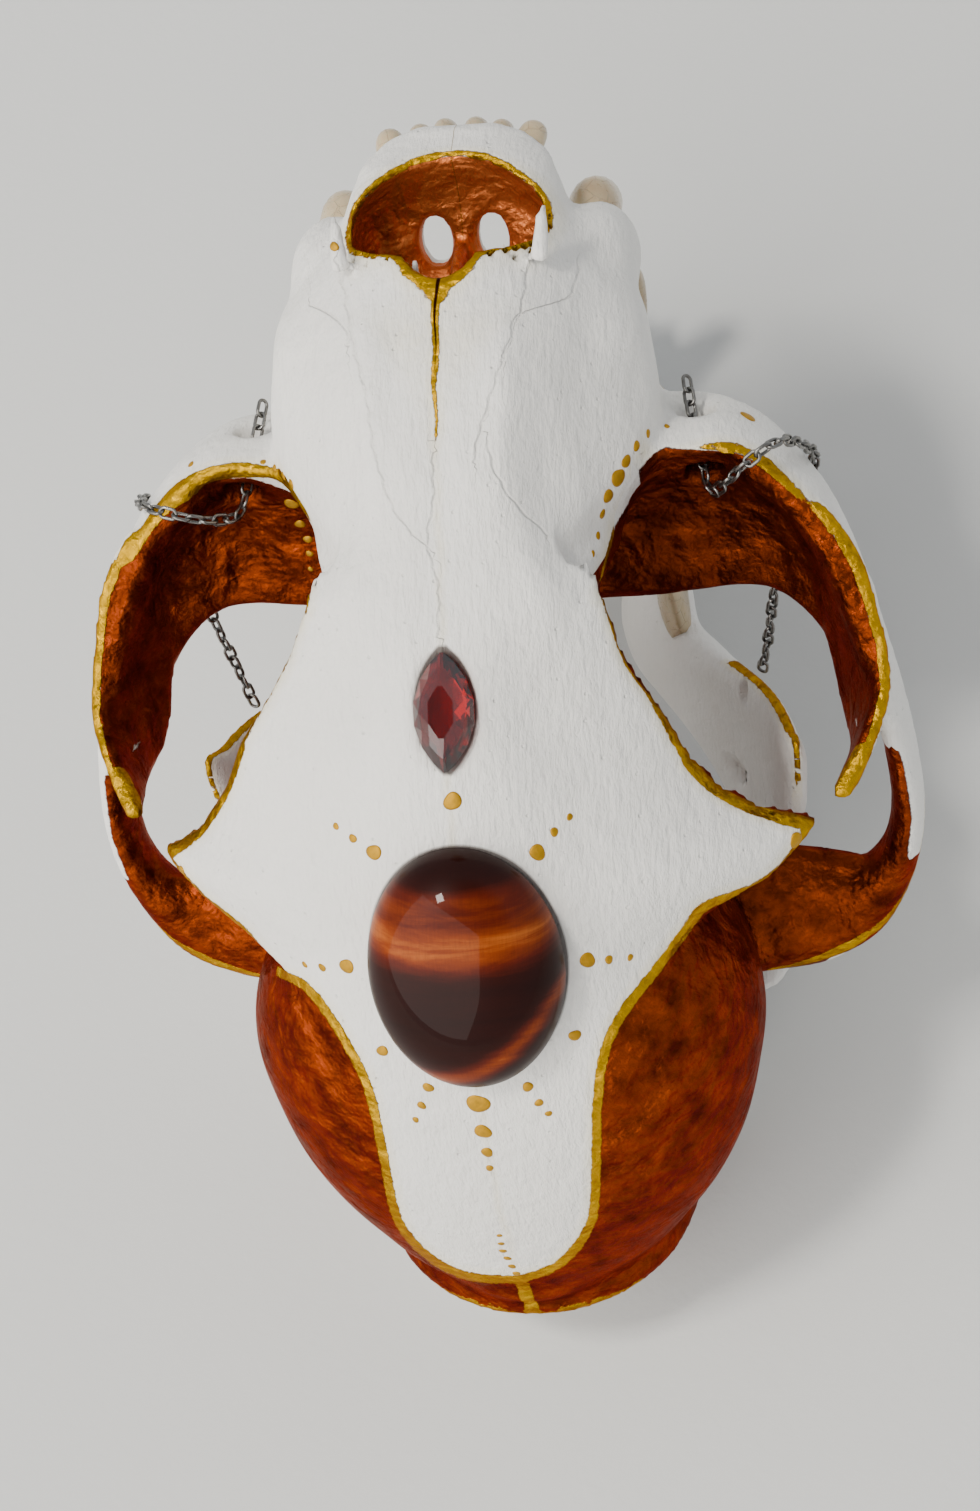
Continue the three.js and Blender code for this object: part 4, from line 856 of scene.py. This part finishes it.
jaw = cut(jaw, rod(x, y, z, (15, 21.4, 8.4), (40, 21.4, 8.4), 1.1), 0.3)
jaw = np.maximum(jaw, 0.15 - x + 0 * jaw)
upright = in_head(np.stack(np.broadcast_arrays(x, y, z), axis=-1))
jaw = np.maximum(jaw, 0.02 - on_table(upright)[..., 2])
jaw_points, jaw_quads = skin(jaw, jaw_low, JAW_STEP)
del jaw, form, upright
top_edge = smooth(jaw_points[:, 1], along, [s[3] for s in JAW])
jaw_gold = np.maximum(top_edge - jaw_points[:, 2] - np.interp(jaw_points[:, 1], [7, 14, 28], [0.6, 0.8, 0.6]),
                      np.maximum(jaw_points[:, 1] - 27, 5.6 - jaw_points[:, 1]))
# The gold border is the only paint border on the jaws: all others are far away.
far = np.full(len(jaw_points), 9.0)
jaw_paint = {key: far for key in (*PAINT_DEPTHS, *SEAM_NAMES) if key not in ("roof_line", "crack_half")}
jaw_paint["gold"] = jaw_gold
for side, name in ((1, "right"), (-1, "left")):
    placed = on_table(in_head(jaw_points * (side, 1, 1)))
    mesh_piece(f"mandible_{name}_bone", placed, jaw_quads if side == 1 else jaw_quads[:, ::-1], bone_material,
               replaced=(f"mandible_{name}",), attributes=jaw_paint)


# Teeth. Bare enamel, cream at the root and amber to the tip, fine vertical cracks, set in their sockets.

# Peg-like teeth: x, y, z of the axis and the reach across and along. Cutting teeth: x, y, height of
# the crown's edge and half the thickness, then the heights of the gum line and the root.
PEGS = {
    "upper": {
        "incisor_1": [(1.6, 84.0, 0.6, 0.8, 1.0), (1.6, 85.1, -2.8, 1.1, 1.1), (1.6, 84.8, -6.0, 0.9, 0.5)],
        "incisor_2": [(4.2, 83.4, 0.6, 0.8, 1.0), (4.2, 84.7, -2.8, 1.1, 1.1), (4.2, 84.2, -6.4, 0.9, 0.5)],
        "incisor_3": [(6.7, 81.4, 0.8, 1.0, 1.2), (7.3, 83.7, -2.4, 1.5, 1.6), (7.4, 83.6, -5.0, 1.2, 1.2),
                      (6.9, 81.6, -7.8, 0.4, 0.5)],
        "canine": [(12.4, 72.0, 4.0, 1.8, 2.4), (12.9, 75.2, -2.2, 2.7, 3.5), (13.2, 75.6, -6.4, 2.4, 3.0),
                   (13.4, 74.6, -11.0, 1.7, 2.0), (13.4, 72.6, -15.6, 0.4, 0.5)],
        "molar_1": [(18.4, 40.2, 1.6, 1.6, 1.0), (18.4, 40.2, -1.4, 2.7, 1.4), (18.4, 40.2, -3.4, 2.2, 0.9)]},
    "lower": {
        "incisor_1": [(1.4, 78.6, -8.0, 0.7, 0.9), (1.4, 80.4, -4.8, 0.9, 1.1), (1.4, 81.4, -1.8, 0.8, 0.5)],
        "incisor_2": [(3.6, 78.4, -8.0, 0.7, 0.9), (3.6, 80.2, -4.8, 1.0, 1.1), (3.6, 81.2, -1.6, 0.9, 0.5)],
        "incisor_3": [(5.9, 77.8, -8.0, 0.8, 0.9), (6.0, 79.4, -4.8, 1.1, 1.2), (6.1, 80.4, -1.4, 1.0, 0.6)],
        "canine": [(7.6, 71.4, -11.0, 1.6, 2.2), (8.6, 74.8, -5.4, 2.4, 3.2), (9.8, 76.8, -1.0, 2.1, 2.7),
                   (10.6, 77.8, 4.0, 1.4, 1.7), (10.9, 77.0, 8.8, 0.4, 0.4)]}}
BLADES = {
    "upper": {
        "premolar_3": ([(15.6, 67.4, -3.6, 1.2), (15.8, 66.2, -4.2, 1.6), (16.1, 63.4, -8.0, 1.7),
                        (16.6, 60.8, -4.8, 1.7), (17.0, 58.8, -3.6, 1.3)], -1.6, 1.4),
        "premolar_4": ([(17.0, 57.6, -3.4, 1.5), (17.3, 56.2, -5.0, 2.2), (18.0, 53.2, -9.6, 2.1),
                        (18.9, 49.2, -6.2, 1.9), (19.8, 46.0, -7.0, 1.9),
                        (20.6, 43.2, -3.6, 1.5)], -1.4, 1.6)},
    "lower": {
        "premolar_3": ([(11.2, 63.8, -3.2, 1.2), (11.6, 62.4, -2.2, 1.6), (12.4, 60.0, 1.0, 1.7),
                        (13.0, 57.6, -2.2, 1.6), (13.3, 56.4, -3.2, 1.2)], -5.2, -8.2),
        "premolar_4": ([(13.6, 55.4, -2.6, 1.3), (13.9, 53.8, -1.4, 1.8), (14.4, 51.0, 2.6, 1.8),
                        (14.9, 48.2, -1.2, 1.8), (15.2, 46.6, -2.6, 1.4)], -5.0, -8.0),
        "molar_1": ([(14.4, 45.6, -2.4, 1.5), (14.6, 43.6, 2.2, 1.9), (14.9, 41.2, -0.8, 1.9),
                     (15.3, 38.2, 3.4, 1.9), (15.8, 35.8, -1.0, 1.6), (16.1, 34.6, -2.8, 1.2)], -4.6, -7.6)}}
PEG_RINGS, PEG_SIDES = 22, 20


def closed_grid(rings):
    """Quads between the rings of a tube, with a fan to a middle point at each end. Returns points, faces."""
    rows, columns = rings.shape[:2]
    index = np.arange(rows * columns).reshape(rows, columns)
    after = np.roll(index, -1, axis=1)
    walls = np.stack([index[:-1], after[:-1], after[1:], index[1:]], axis=-1).reshape(-1, 4).tolist()
    first, last = rows * columns, rows * columns + 1
    walls += [[first, b, a] for a, b in zip(index[0], after[0])]
    walls += [[last, a, b] for a, b in zip(index[-1], after[-1])]
    points = np.concatenate([rings.reshape(-1, 3), rings[0].mean(0)[None], rings[-1].mean(0)[None]])
    return points, walls


def outward(points, faces):
    """The faces, turned over if the volume that they close, sum of a.(b x c) / 6, is negative."""
    volume = 0.0
    for corners in ([f[0], f[k], f[k + 1]] for f in faces for k in range(1, len(f) - 1)):
        a, b, c = points[corners]
        volume += a @ np.cross(b, c)
    return faces if volume > 0 else [face[::-1] for face in faces]


def peg(stations):
    """An oval that follows a bent axis and closes in a round tip."""
    fine = finer(stations, PEG_RINGS)
    turn = 2 * math.pi * np.arange(PEG_SIDES) / PEG_SIDES
    end = np.linspace(0, 1, PEG_RINGS)[:, None]
    taper = np.where(end > 0.9, np.sqrt(np.maximum(1 - ((end - 0.9) / 0.1)**2, 0)) * 0.9 + 0.1, 1)
    rings = np.stack([fine[:, 0:1] + fine[:, 3:4] * np.cos(turn) * taper,
                      fine[:, 1:2] + fine[:, 4:5] * np.sin(turn) * taper,
                      np.repeat(fine[:, 2:3], PEG_SIDES, axis=1)], axis=-1)
    return closed_grid(rings)


def blade(stations, gum, root):
    """A cutting tooth: rings across the jaw, each from the root over the gum line to a sharp crown edge."""
    fine = finer(stations, 40)
    x, y, edge, thick = fine.T
    share = np.linspace(0, 1, 9)
    width = np.interp(share, [0, 0.25, 0.45, 0.75, 1], [0.5, 0.85, 1.0, 0.62, 0.12])
    level = np.where(share < 0.4, root + (gum - root) * share[None] / 0.4 + 0 * edge[:, None],
                     gum + (edge[:, None] - gum) * (share[None] - 0.4) / 0.6)
    outer = np.stack([x[:, None] + thick[:, None] * width, y[:, None] + 0 * level, level], axis=-1)
    inner = np.stack([x[:, None] - thick[:, None] * width, y[:, None] + 0 * level, level], axis=-1)
    return closed_grid(np.concatenate([outer, inner[:, ::-1]], axis=1))


def enamel():
    """Old enamel: cream to amber, finely crazed, with a soft wet shine."""
    material, tree, shader, where = new_material("enamel")
    stain = noise(tree, where, 0.22, detail=5)
    colour = mixed(tree, stain, linear("#d9c9a4"), linear("#94744a"))
    cells = add(tree, "ShaderNodeTexVoronoi", {"Vector": where, "Scale": 0.5 / MM},
                feature="DISTANCE_TO_EDGE")
    crack = math_node(tree, "MULTIPLY_ADD", cells.outputs["Distance"], -30.0, 1.0, clamp=True)
    colour = mixed(tree, math_node(tree, "MULTIPLY", crack, 0.3), colour, linear("#6b4c25"))
    fine = noise(tree, where, 2.2, detail=4)
    height = math_node(tree, "SUBTRACT", fine, crack)
    bump = add(tree, "ShaderNodeBump", {"Height": height, "Distance": 0.04 * MM}).outputs[0]
    wire(tree, shader, Base_Color=colour, Normal=bump,
         Roughness=math_node(tree, "MULTIPLY_ADD", fine, 0.2, 0.2),
         Subsurface_Weight=0.15, Subsurface_Scale=0.6 * MM, Coat_Weight=0.4, Coat_Roughness=0.15)
    return material


enamel_material = enamel()
for jaw_name, place in (("upper", on_table), ("lower", lambda p: on_table(in_head(p)))):
    made = {tooth: peg(stations) for tooth, stations in PEGS[jaw_name].items()}
    made.update({tooth: blade(*facts) for tooth, facts in BLADES[jaw_name].items()})
    for tooth, (tooth_points, tooth_faces) in made.items():
        tooth_faces = outward(tooth_points, tooth_faces)
        for side, name in ((1, "right"), (-1, "left")):
            mesh_piece(f"{jaw_name}_{name}_{tooth}_crown", place(tooth_points * (side, 1, 1)),
                       tooth_faces if side == 1 else [face[::-1] for face in tooth_faces], enamel_material,
                       replaced=(f"{jaw_name}_{name}_{tooth}",))


# Gem. A deep red stone cut as a marquise, pointed at both ends, with a flat table and a ring of
# facets, glued in a hollow between the eyes.

GEM = {"width": 6.1, "length": 11.8, "height": 2.1, "lean": math.radians(-23)}
GEM_CENTRE = np.array([0.0, 38.0, 39.2])


def marquise(count, shift=0.0):
    """Points round two arcs that meet in points: y = sin, x = (1 - y^2)^0.85."""
    turn = 2 * math.pi * (np.arange(count) + shift) / count
    y = np.sin(turn)
    return np.stack([np.sign(np.cos(turn)) * (1 - y * y)**0.85, y], axis=1)


def red_stone():
    """Clear deep red stone: plain transmission, its index and its absorption."""
    material, tree, shader, where = new_material("red_gem")
    haze = noise(tree, where, 0.5, detail=2)
    red = mixed(tree, haze, linear("#d24c3c"), linear("#c83c2e"))
    wire(tree, shader, Base_Color=red, Roughness=0.01, IOR=1.76, Transmission_Weight=1.0)
    out = next(n for n in tree.nodes if n.type == "OUTPUT_MATERIAL")
    fog = add(tree, "ShaderNodeVolumeAbsorption", {"Color": (0.93, 0.02, 0.01, 1.0), "Density": 2.6 / MM})
    tree.links.new(fog.outputs[0], out.inputs["Volume"])
    return material


levels = [(8, 0.5, 0.46, GEM["height"]), (16, 0.0, 0.76, GEM["height"] * 0.62), (16, 0.5, 1.0, 0.3),
          (16, 0.5, 1.0, 0.0), (8, 0.5, 0.5, -0.95), (1, 0.0, 0.0, -1.28)]
cloud = []
for count, shift, share, height in levels:
    outline = marquise(count, shift) * share * (GEM["width"] / 2, GEM["length"] / 2)
    cloud.append(np.concatenate([outline, np.full((count, 1), height)], axis=1))
cloud_x, cloud_y, cloud_z = np.concatenate(cloud).T
c, s = math.cos(GEM["lean"]), math.sin(GEM["lean"])
cloud = np.stack([cloud_x, cloud_y * c - cloud_z * s, cloud_y * s + cloud_z * c], axis=1) + GEM_CENTRE
shell_mesh = bmesh.new()
for corner in on_table(cloud):
    shell_mesh.verts.new(corner)
hull_faces = bmesh.ops.convex_hull(shell_mesh, input=shell_mesh.verts)
bmesh.ops.delete(shell_mesh, geom=hull_faces["geom_interior"], context="VERTS")
bmesh.ops.dissolve_limit(shell_mesh, angle_limit=0.002, verts=shell_mesh.verts, edges=shell_mesh.edges)
bmesh.ops.recalc_face_normals(shell_mesh, faces=shell_mesh.faces)
shell_mesh.verts.index_update()
gem_points = np.array([v.co for v in shell_mesh.verts])
gem_faces = [[v.index for v in face.verts] for face in shell_mesh.faces]
shell_mesh.free()
mesh_piece("gem_stone", gem_points, gem_faces, red_stone(), is_smooth=False,
           replaced=("gem",))


# Cabochon. An oval dome of red tiger eye, whose silky bands run across it, ground and polished to a
# mirror and glued in a seat at the crown of the head.

DOME = {"width": 19.6, "length": 25.6, "height": 6.6, "lean": math.radians(-1)}
DOME_CENTRE = np.array([0.2, 12.2, 42.3])


def tiger_eye():
    """Silky fibres in dark red and orange bands under a clear polish, on the dome's own x and y in mm; the
    orange of the bands is partly painted sheen, the light their fibres throw back.
    """
    material, tree, shader, _ = new_material("tiger_eye")
    local = [add(tree, "ShaderNodeAttribute", attribute_name=key).outputs["Fac"]
             for key in ("dome_x", "dome_y")]
    metres = {k: math_node(tree, "MULTIPLY", value, MM) for k, value in enumerate(local)}
    place = add(tree, "ShaderNodeCombineXYZ", metres).outputs[0]
    silk_and_sheen = add(tree, "ShaderNodeAttribute", attribute_name="silk_and_sheen").outputs["Fac"]
    streak = noise(tree, place, 0.5, detail=7, rough=0.6, stretch=(0.16, 1.0, 1.0), twist=0.4)
    band = math_node(tree, "MULTIPLY", silk_and_sheen, math_node(tree, "MULTIPLY_ADD", streak, 1.5, 0.25))
    ramp = add(tree, "ShaderNodeValToRGB", {"Fac": band})
    stops = [(0.05, "#140402"), (0.3, "#2c0903"), (0.55, "#561806"), (0.8, "#823408"), (1.0, "#a8561c")]
    marks = ramp.color_ramp.elements
    for mark, (position, code) in zip(marks, (stops[0], stops[-1])):
        mark.position = position
        mark.color = linear(code)
    for position, code in stops[1:-1]:
        marks.new(position).color = linear(code)
    fibre = noise(tree, place, 5.0, detail=3, stretch=(1.0, 0.12, 1.0))
    colour = mixed(tree, math_node(tree, "MULTIPLY", fibre, 0.4), ramp.outputs[0], linear("#1a0603"))
    wire(tree, shader, Base_Color=colour, Roughness=0.4, Specular_IOR_Level=0.05, Coat_Weight=0.16,
         Coat_Roughness=0.03, Coat_IOR=1.5)
    return material


DOME_SIDES, DOME_RINGS = 96, 26
turn = 2 * math.pi * np.arange(DOME_SIDES) / DOME_SIDES
rise = np.linspace(0, math.pi / 2, DOME_RINGS)[:-1]
profile_r = np.concatenate([[0.94, 0.97, 1.0], np.cos(rise[1:])**0.8])
profile_z = np.concatenate([[-1.3, -0.6, 0.0], DOME["height"] * np.sin(rise[1:])])
dome = np.stack([profile_r[:, None] * DOME["width"] / 2 * np.cos(turn),
                 profile_r[:, None] * DOME["length"] / 2 * np.sin(turn),
                 np.repeat(profile_z[:, None], DOME_SIDES, axis=1)], axis=-1)
dome_points, dome_faces = closed_grid(dome)
dome_points[-1, 2] = DOME["height"]
dome_faces = outward(dome_points, dome_faces)
c, s = math.cos(DOME["lean"]), math.sin(DOME["lean"])
leaned = np.stack([dome_points[:, 0], dome_points[:, 1] * c - dome_points[:, 2] * s,
                   dome_points[:, 1] * s + dome_points[:, 2] * c], axis=1) + DOME_CENTRE
# Two broad silky bands, the stone's own, made brighter as painted sheen where its fibres throw back light:
# one straight across, with a faint one above it, and one that bends round low.
across, along = dome_points[:, 0], dome_points[:, 1]
silk_and_sheen = 0.16 + 0.75 * np.exp(-((along - 4.6 - 0.01 * across**2) / 2.4)**2)
silk_and_sheen = silk_and_sheen + 0.4 * np.exp(-((along - 8.8) / 1.6)**2)
silk_and_sheen = silk_and_sheen + 0.6 * np.exp(-((along + 10.6 - 0.05 * (across + 4)**2) / 1.5)**2)
mesh_piece("cabochon_stone", on_table(leaned), dome_faces, tiger_eye(),
           replaced=("cabochon",), attributes={"dome_x": across, "dome_y": along, "silk_and_sheen": silk_and_sheen})


# Chains. Fine steel cable chain of bent wire links, each turned a quarter against the last. Each goes
# through the bore in the cheek, over the rim of the eye socket, round the cheek's root and to the jaw.

CHAIN_ROUTES = {
    "right": [
        (22.1, 59.8, 4.4), (22.6, 57.0, 6.6), (23.6, 53.0, 9.6), (24.4, 50.4, 12.2), (25.6, 51.0, 14.0),
        (27.6, 53.2, 15.7), (29.6, 55.0, 16.4), (31.2, 55.9, 15.7), (32.5, 55.5, 13.4), (33.7, 54.0, 10.0),
        (34.5, 51.9, 6.0), (34.4, 49.5, 2.0), (33.2, 45.6, 0.8), (31.2, 40.4, 0.4), (29.3, 34.4, -0.4),
        (28.0, 27.6, -5.4), (27.0, 23.2, -8.6), (26.7, 21.8, -9.5)],
    "left": [
        (-22.1, 59.4, 4.6), (-22.6, 56.8, 6.8), (-23.4, 52.8, 9.8), (-24.2, 50.0, 12.2),
        (-25.6, 50.0, 14.2), (-27.8, 50.7, 15.9), (-30.0, 51.4, 16.3), (-32.2, 51.9, 15.8),
        (-34.0, 51.6, 13.4), (-35.2, 50.8, 9.8), (-35.8, 49.8, 6.0), (-35.5, 48.0, 2.0), (-34.0, 44.4, 0.8),
        (-32.8, 39.6, 0.4), (-31.6, 33.2, -0.6), (-30.6, 28.0, -2.6), (-29.7, 23.4, -4.2),
        (-29.3, 21.6, -4.8)]}
LINK_PITCH = 1.42
LINK = {"half_run": 0.36, "bend": 0.53, "wire": 0.19}


def chain_steel():
    """Steel wire that has darkened, bright where the links rub."""
    material, tree, shader, where = new_material("chain_steel")
    tarnish = noise(tree, where, 0.9, detail=4)
    colour = mixed(tree, tarnish, linear("#9b9a97"), linear("#45423f"))
    bump = add(tree, "ShaderNodeBump", {"Height": noise(tree, where, 6.0), "Distance": 0.02 * MM}).outputs[0]
    wire(tree, shader, Base_Color=colour, Metallic=1.0, Normal=bump,
         Roughness=math_node(tree, "MULTIPLY_ADD", tarnish, 0.25, 0.18))
    return material


LINK_STEPS, WIRE_SIDES = 28, 8
turn = 2 * math.pi * np.arange(LINK_STEPS) / LINK_STEPS
end_shift = LINK["half_run"] * np.sign(np.sin(turn) + 1e-9)
path = np.stack([LINK["bend"] * np.cos(turn), LINK["bend"] * np.sin(turn) + end_shift], axis=1)
outwards = np.stack([np.cos(turn), np.sin(turn)], axis=1)
tube = 2 * math.pi * np.arange(WIRE_SIDES) / WIRE_SIDES
ring_x = path[:, None, 0] + LINK["wire"] * np.cos(tube) * outwards[:, None, 0]
ring_y = path[:, None, 1] + LINK["wire"] * np.cos(tube) * outwards[:, None, 1]
ring_z = np.broadcast_to(LINK["wire"] * np.sin(tube), ring_x.shape)
one_link = np.stack([ring_x, ring_y, ring_z], axis=-1).reshape(-1, 3)
index = np.arange(LINK_STEPS * WIRE_SIDES).reshape(LINK_STEPS, WIRE_SIDES)
link_faces = np.stack([index, np.roll(index, -1, axis=0), np.roll(np.roll(index, -1, axis=0), -1, axis=1),
                       np.roll(index, -1, axis=1)], axis=-1).reshape(-1, 4)
steel = chain_steel()
for name, route in CHAIN_ROUTES.items():
    fine = finer(route, 400)
    travelled = np.concatenate([[0], np.cumsum(np.linalg.norm(np.diff(fine, axis=0), axis=1))])
    count = int(travelled[-1] / LINK_PITCH)
    stops = (np.arange(count) + 0.5) * travelled[-1] / count
    centres = np.stack([np.interp(stops, travelled, fine[:, k]) for k in range(3)], axis=1)
    ahead = np.gradient(centres, axis=0)
    ahead /= np.linalg.norm(ahead, axis=1)[:, None]
    side = np.cross(ahead, (0.25, 0.3, 0.92))
    side /= np.linalg.norm(side, axis=1)[:, None]
    up = np.cross(side, ahead)
    spin = (math.pi / 2 * np.arange(count) + 0.35 * np.sin(np.arange(count) * 1.7) + 0.6)[:, None]
    flat_way = np.cos(spin) * side + np.sin(spin) * up
    thick_way = -np.sin(spin) * side + np.cos(spin) * up
    links = (centres[:, None] + one_link[None, :, 0:1] * flat_way[:, None]
             + one_link[None, :, 1:2] * ahead[:, None] + one_link[None, :, 2:3] * thick_way[:, None])
    faces = (link_faces[None] + (np.arange(count) * len(one_link))[:, None, None]).reshape(-1, 4)
    mesh_piece(f"chain_{name}_links", on_table(links.reshape(-1, 3)), faces, steel,
               replaced=(f"chain_{name}",))


# The table, a pale grey sheet, under daylight from a wide window to the skull's left and behind it, a
# small one overhead, and a bright room all round.

def table_top():
    """Pale grey card with a faint tooth."""
    material, tree, shader, where = new_material("table_card")
    tooth = noise(tree, where, 0.6, detail=3)
    card = mixed(tree, noise(tree, where, 0.004), linear("#cdcfce"), linear("#d3d3d0"))
    bump = add(tree, "ShaderNodeBump", {"Height": tooth, "Distance": 0.05 * MM}).outputs[0]
    wire(tree, shader, Base_Color=card, Roughness=0.85, Normal=bump)
    return material


floor_mesh = bpy.data.meshes.new("table")
floor_mesh.from_pydata([(-2, -2, 0), (2, -2, 0), (2, 2, 0), (-2, 2, 0)], [], [(0, 1, 2, 3)])
floor_mesh.materials.append(table_top())
floor = bpy.data.objects.new("table", floor_mesh)
bpy.context.scene.collection.objects.link(floor)

world = bpy.data.worlds.new("room")
bpy.context.scene.world = world
world.use_nodes = True
backdrop = world.node_tree.nodes["Background"]
backdrop.inputs["Color"].default_value = linear("#e3e6ea")
# The room is bright all round and dim above the skull, where whoever looks at it stands.
TO_VIEWER = (0.158, -0.342, 0.927)
ROOM, ABOVE = 1.02, 0.3
facing = add(world.node_tree, "ShaderNodeVectorMath", operation="DOT_PRODUCT")
facing.inputs[1].default_value = TO_VIEWER
world.node_tree.links.new(add(world.node_tree, "ShaderNodeTexCoord").outputs["Generated"], facing.inputs[0])
shaded = math_node(world.node_tree, "MULTIPLY_ADD", facing.outputs["Value"], 5.0, -3.5, clamp=True)
strength = math_node(world.node_tree, "MULTIPLY_ADD", shaded, ABOVE - ROOM, ROOM)
world.node_tree.links.new(strength, backdrop.inputs["Strength"])


def window(name, place, aim, size, watts, code):
    """A soft rectangular light at a place in metres in the row's frame, aimed at a point in it."""
    lamp = bpy.data.lights.new(name, "AREA")
    lamp.shape, lamp.size, lamp.size_y = "RECTANGLE", *size
    lamp.energy, lamp.color = watts, linear(code)[:3]
    made = bpy.data.objects.new(name, lamp)
    made.location = place
    made.rotation_euler = (Vector(aim) - Vector(place)).to_track_quat("-Z", "Y").to_euler()
    bpy.context.scene.collection.objects.link(made)


window("skylight", (-0.36, -0.11, 1.0), (0, 0, 0.05), (0.17, 0.12), 6.5, "#fffaf2")
window("window", (-1.0, -1.2, 1.1), (0, 0, 0.03), (2.8, 2.2), 60.0, "#fdf8f0")

# The camera's aim and the picture's upward way, fitted to the photo, in the cranium's frame.
LOOK, PICTURE_UP = (-0.158, -0.386, -0.909), (0.031, 0.918, -0.395)
camera_data = bpy.data.cameras.new("camera")
camera_data.sensor_width = 36
camera_data.lens = 82.6
camera_data.clip_start, camera_data.clip_end = 0.02, 20
camera = bpy.data.objects.new("camera", camera_data)
bpy.context.scene.collection.objects.link(camera)
bpy.context.scene.camera = camera
turned = Matrix.Rotation(NOSE_UP, 3, "X")
forward = (turned @ Vector(LOOK)).normalized()
upward = turned @ Vector(PICTURE_UP)
right = forward.cross(upward).normalized()
upward = right.cross(forward)
axes = Matrix((right, upward, -forward)).transposed().to_4x4()
camera.matrix_world = Matrix.Translation(Vector(on_table(GAZE)) * MM) @ axes
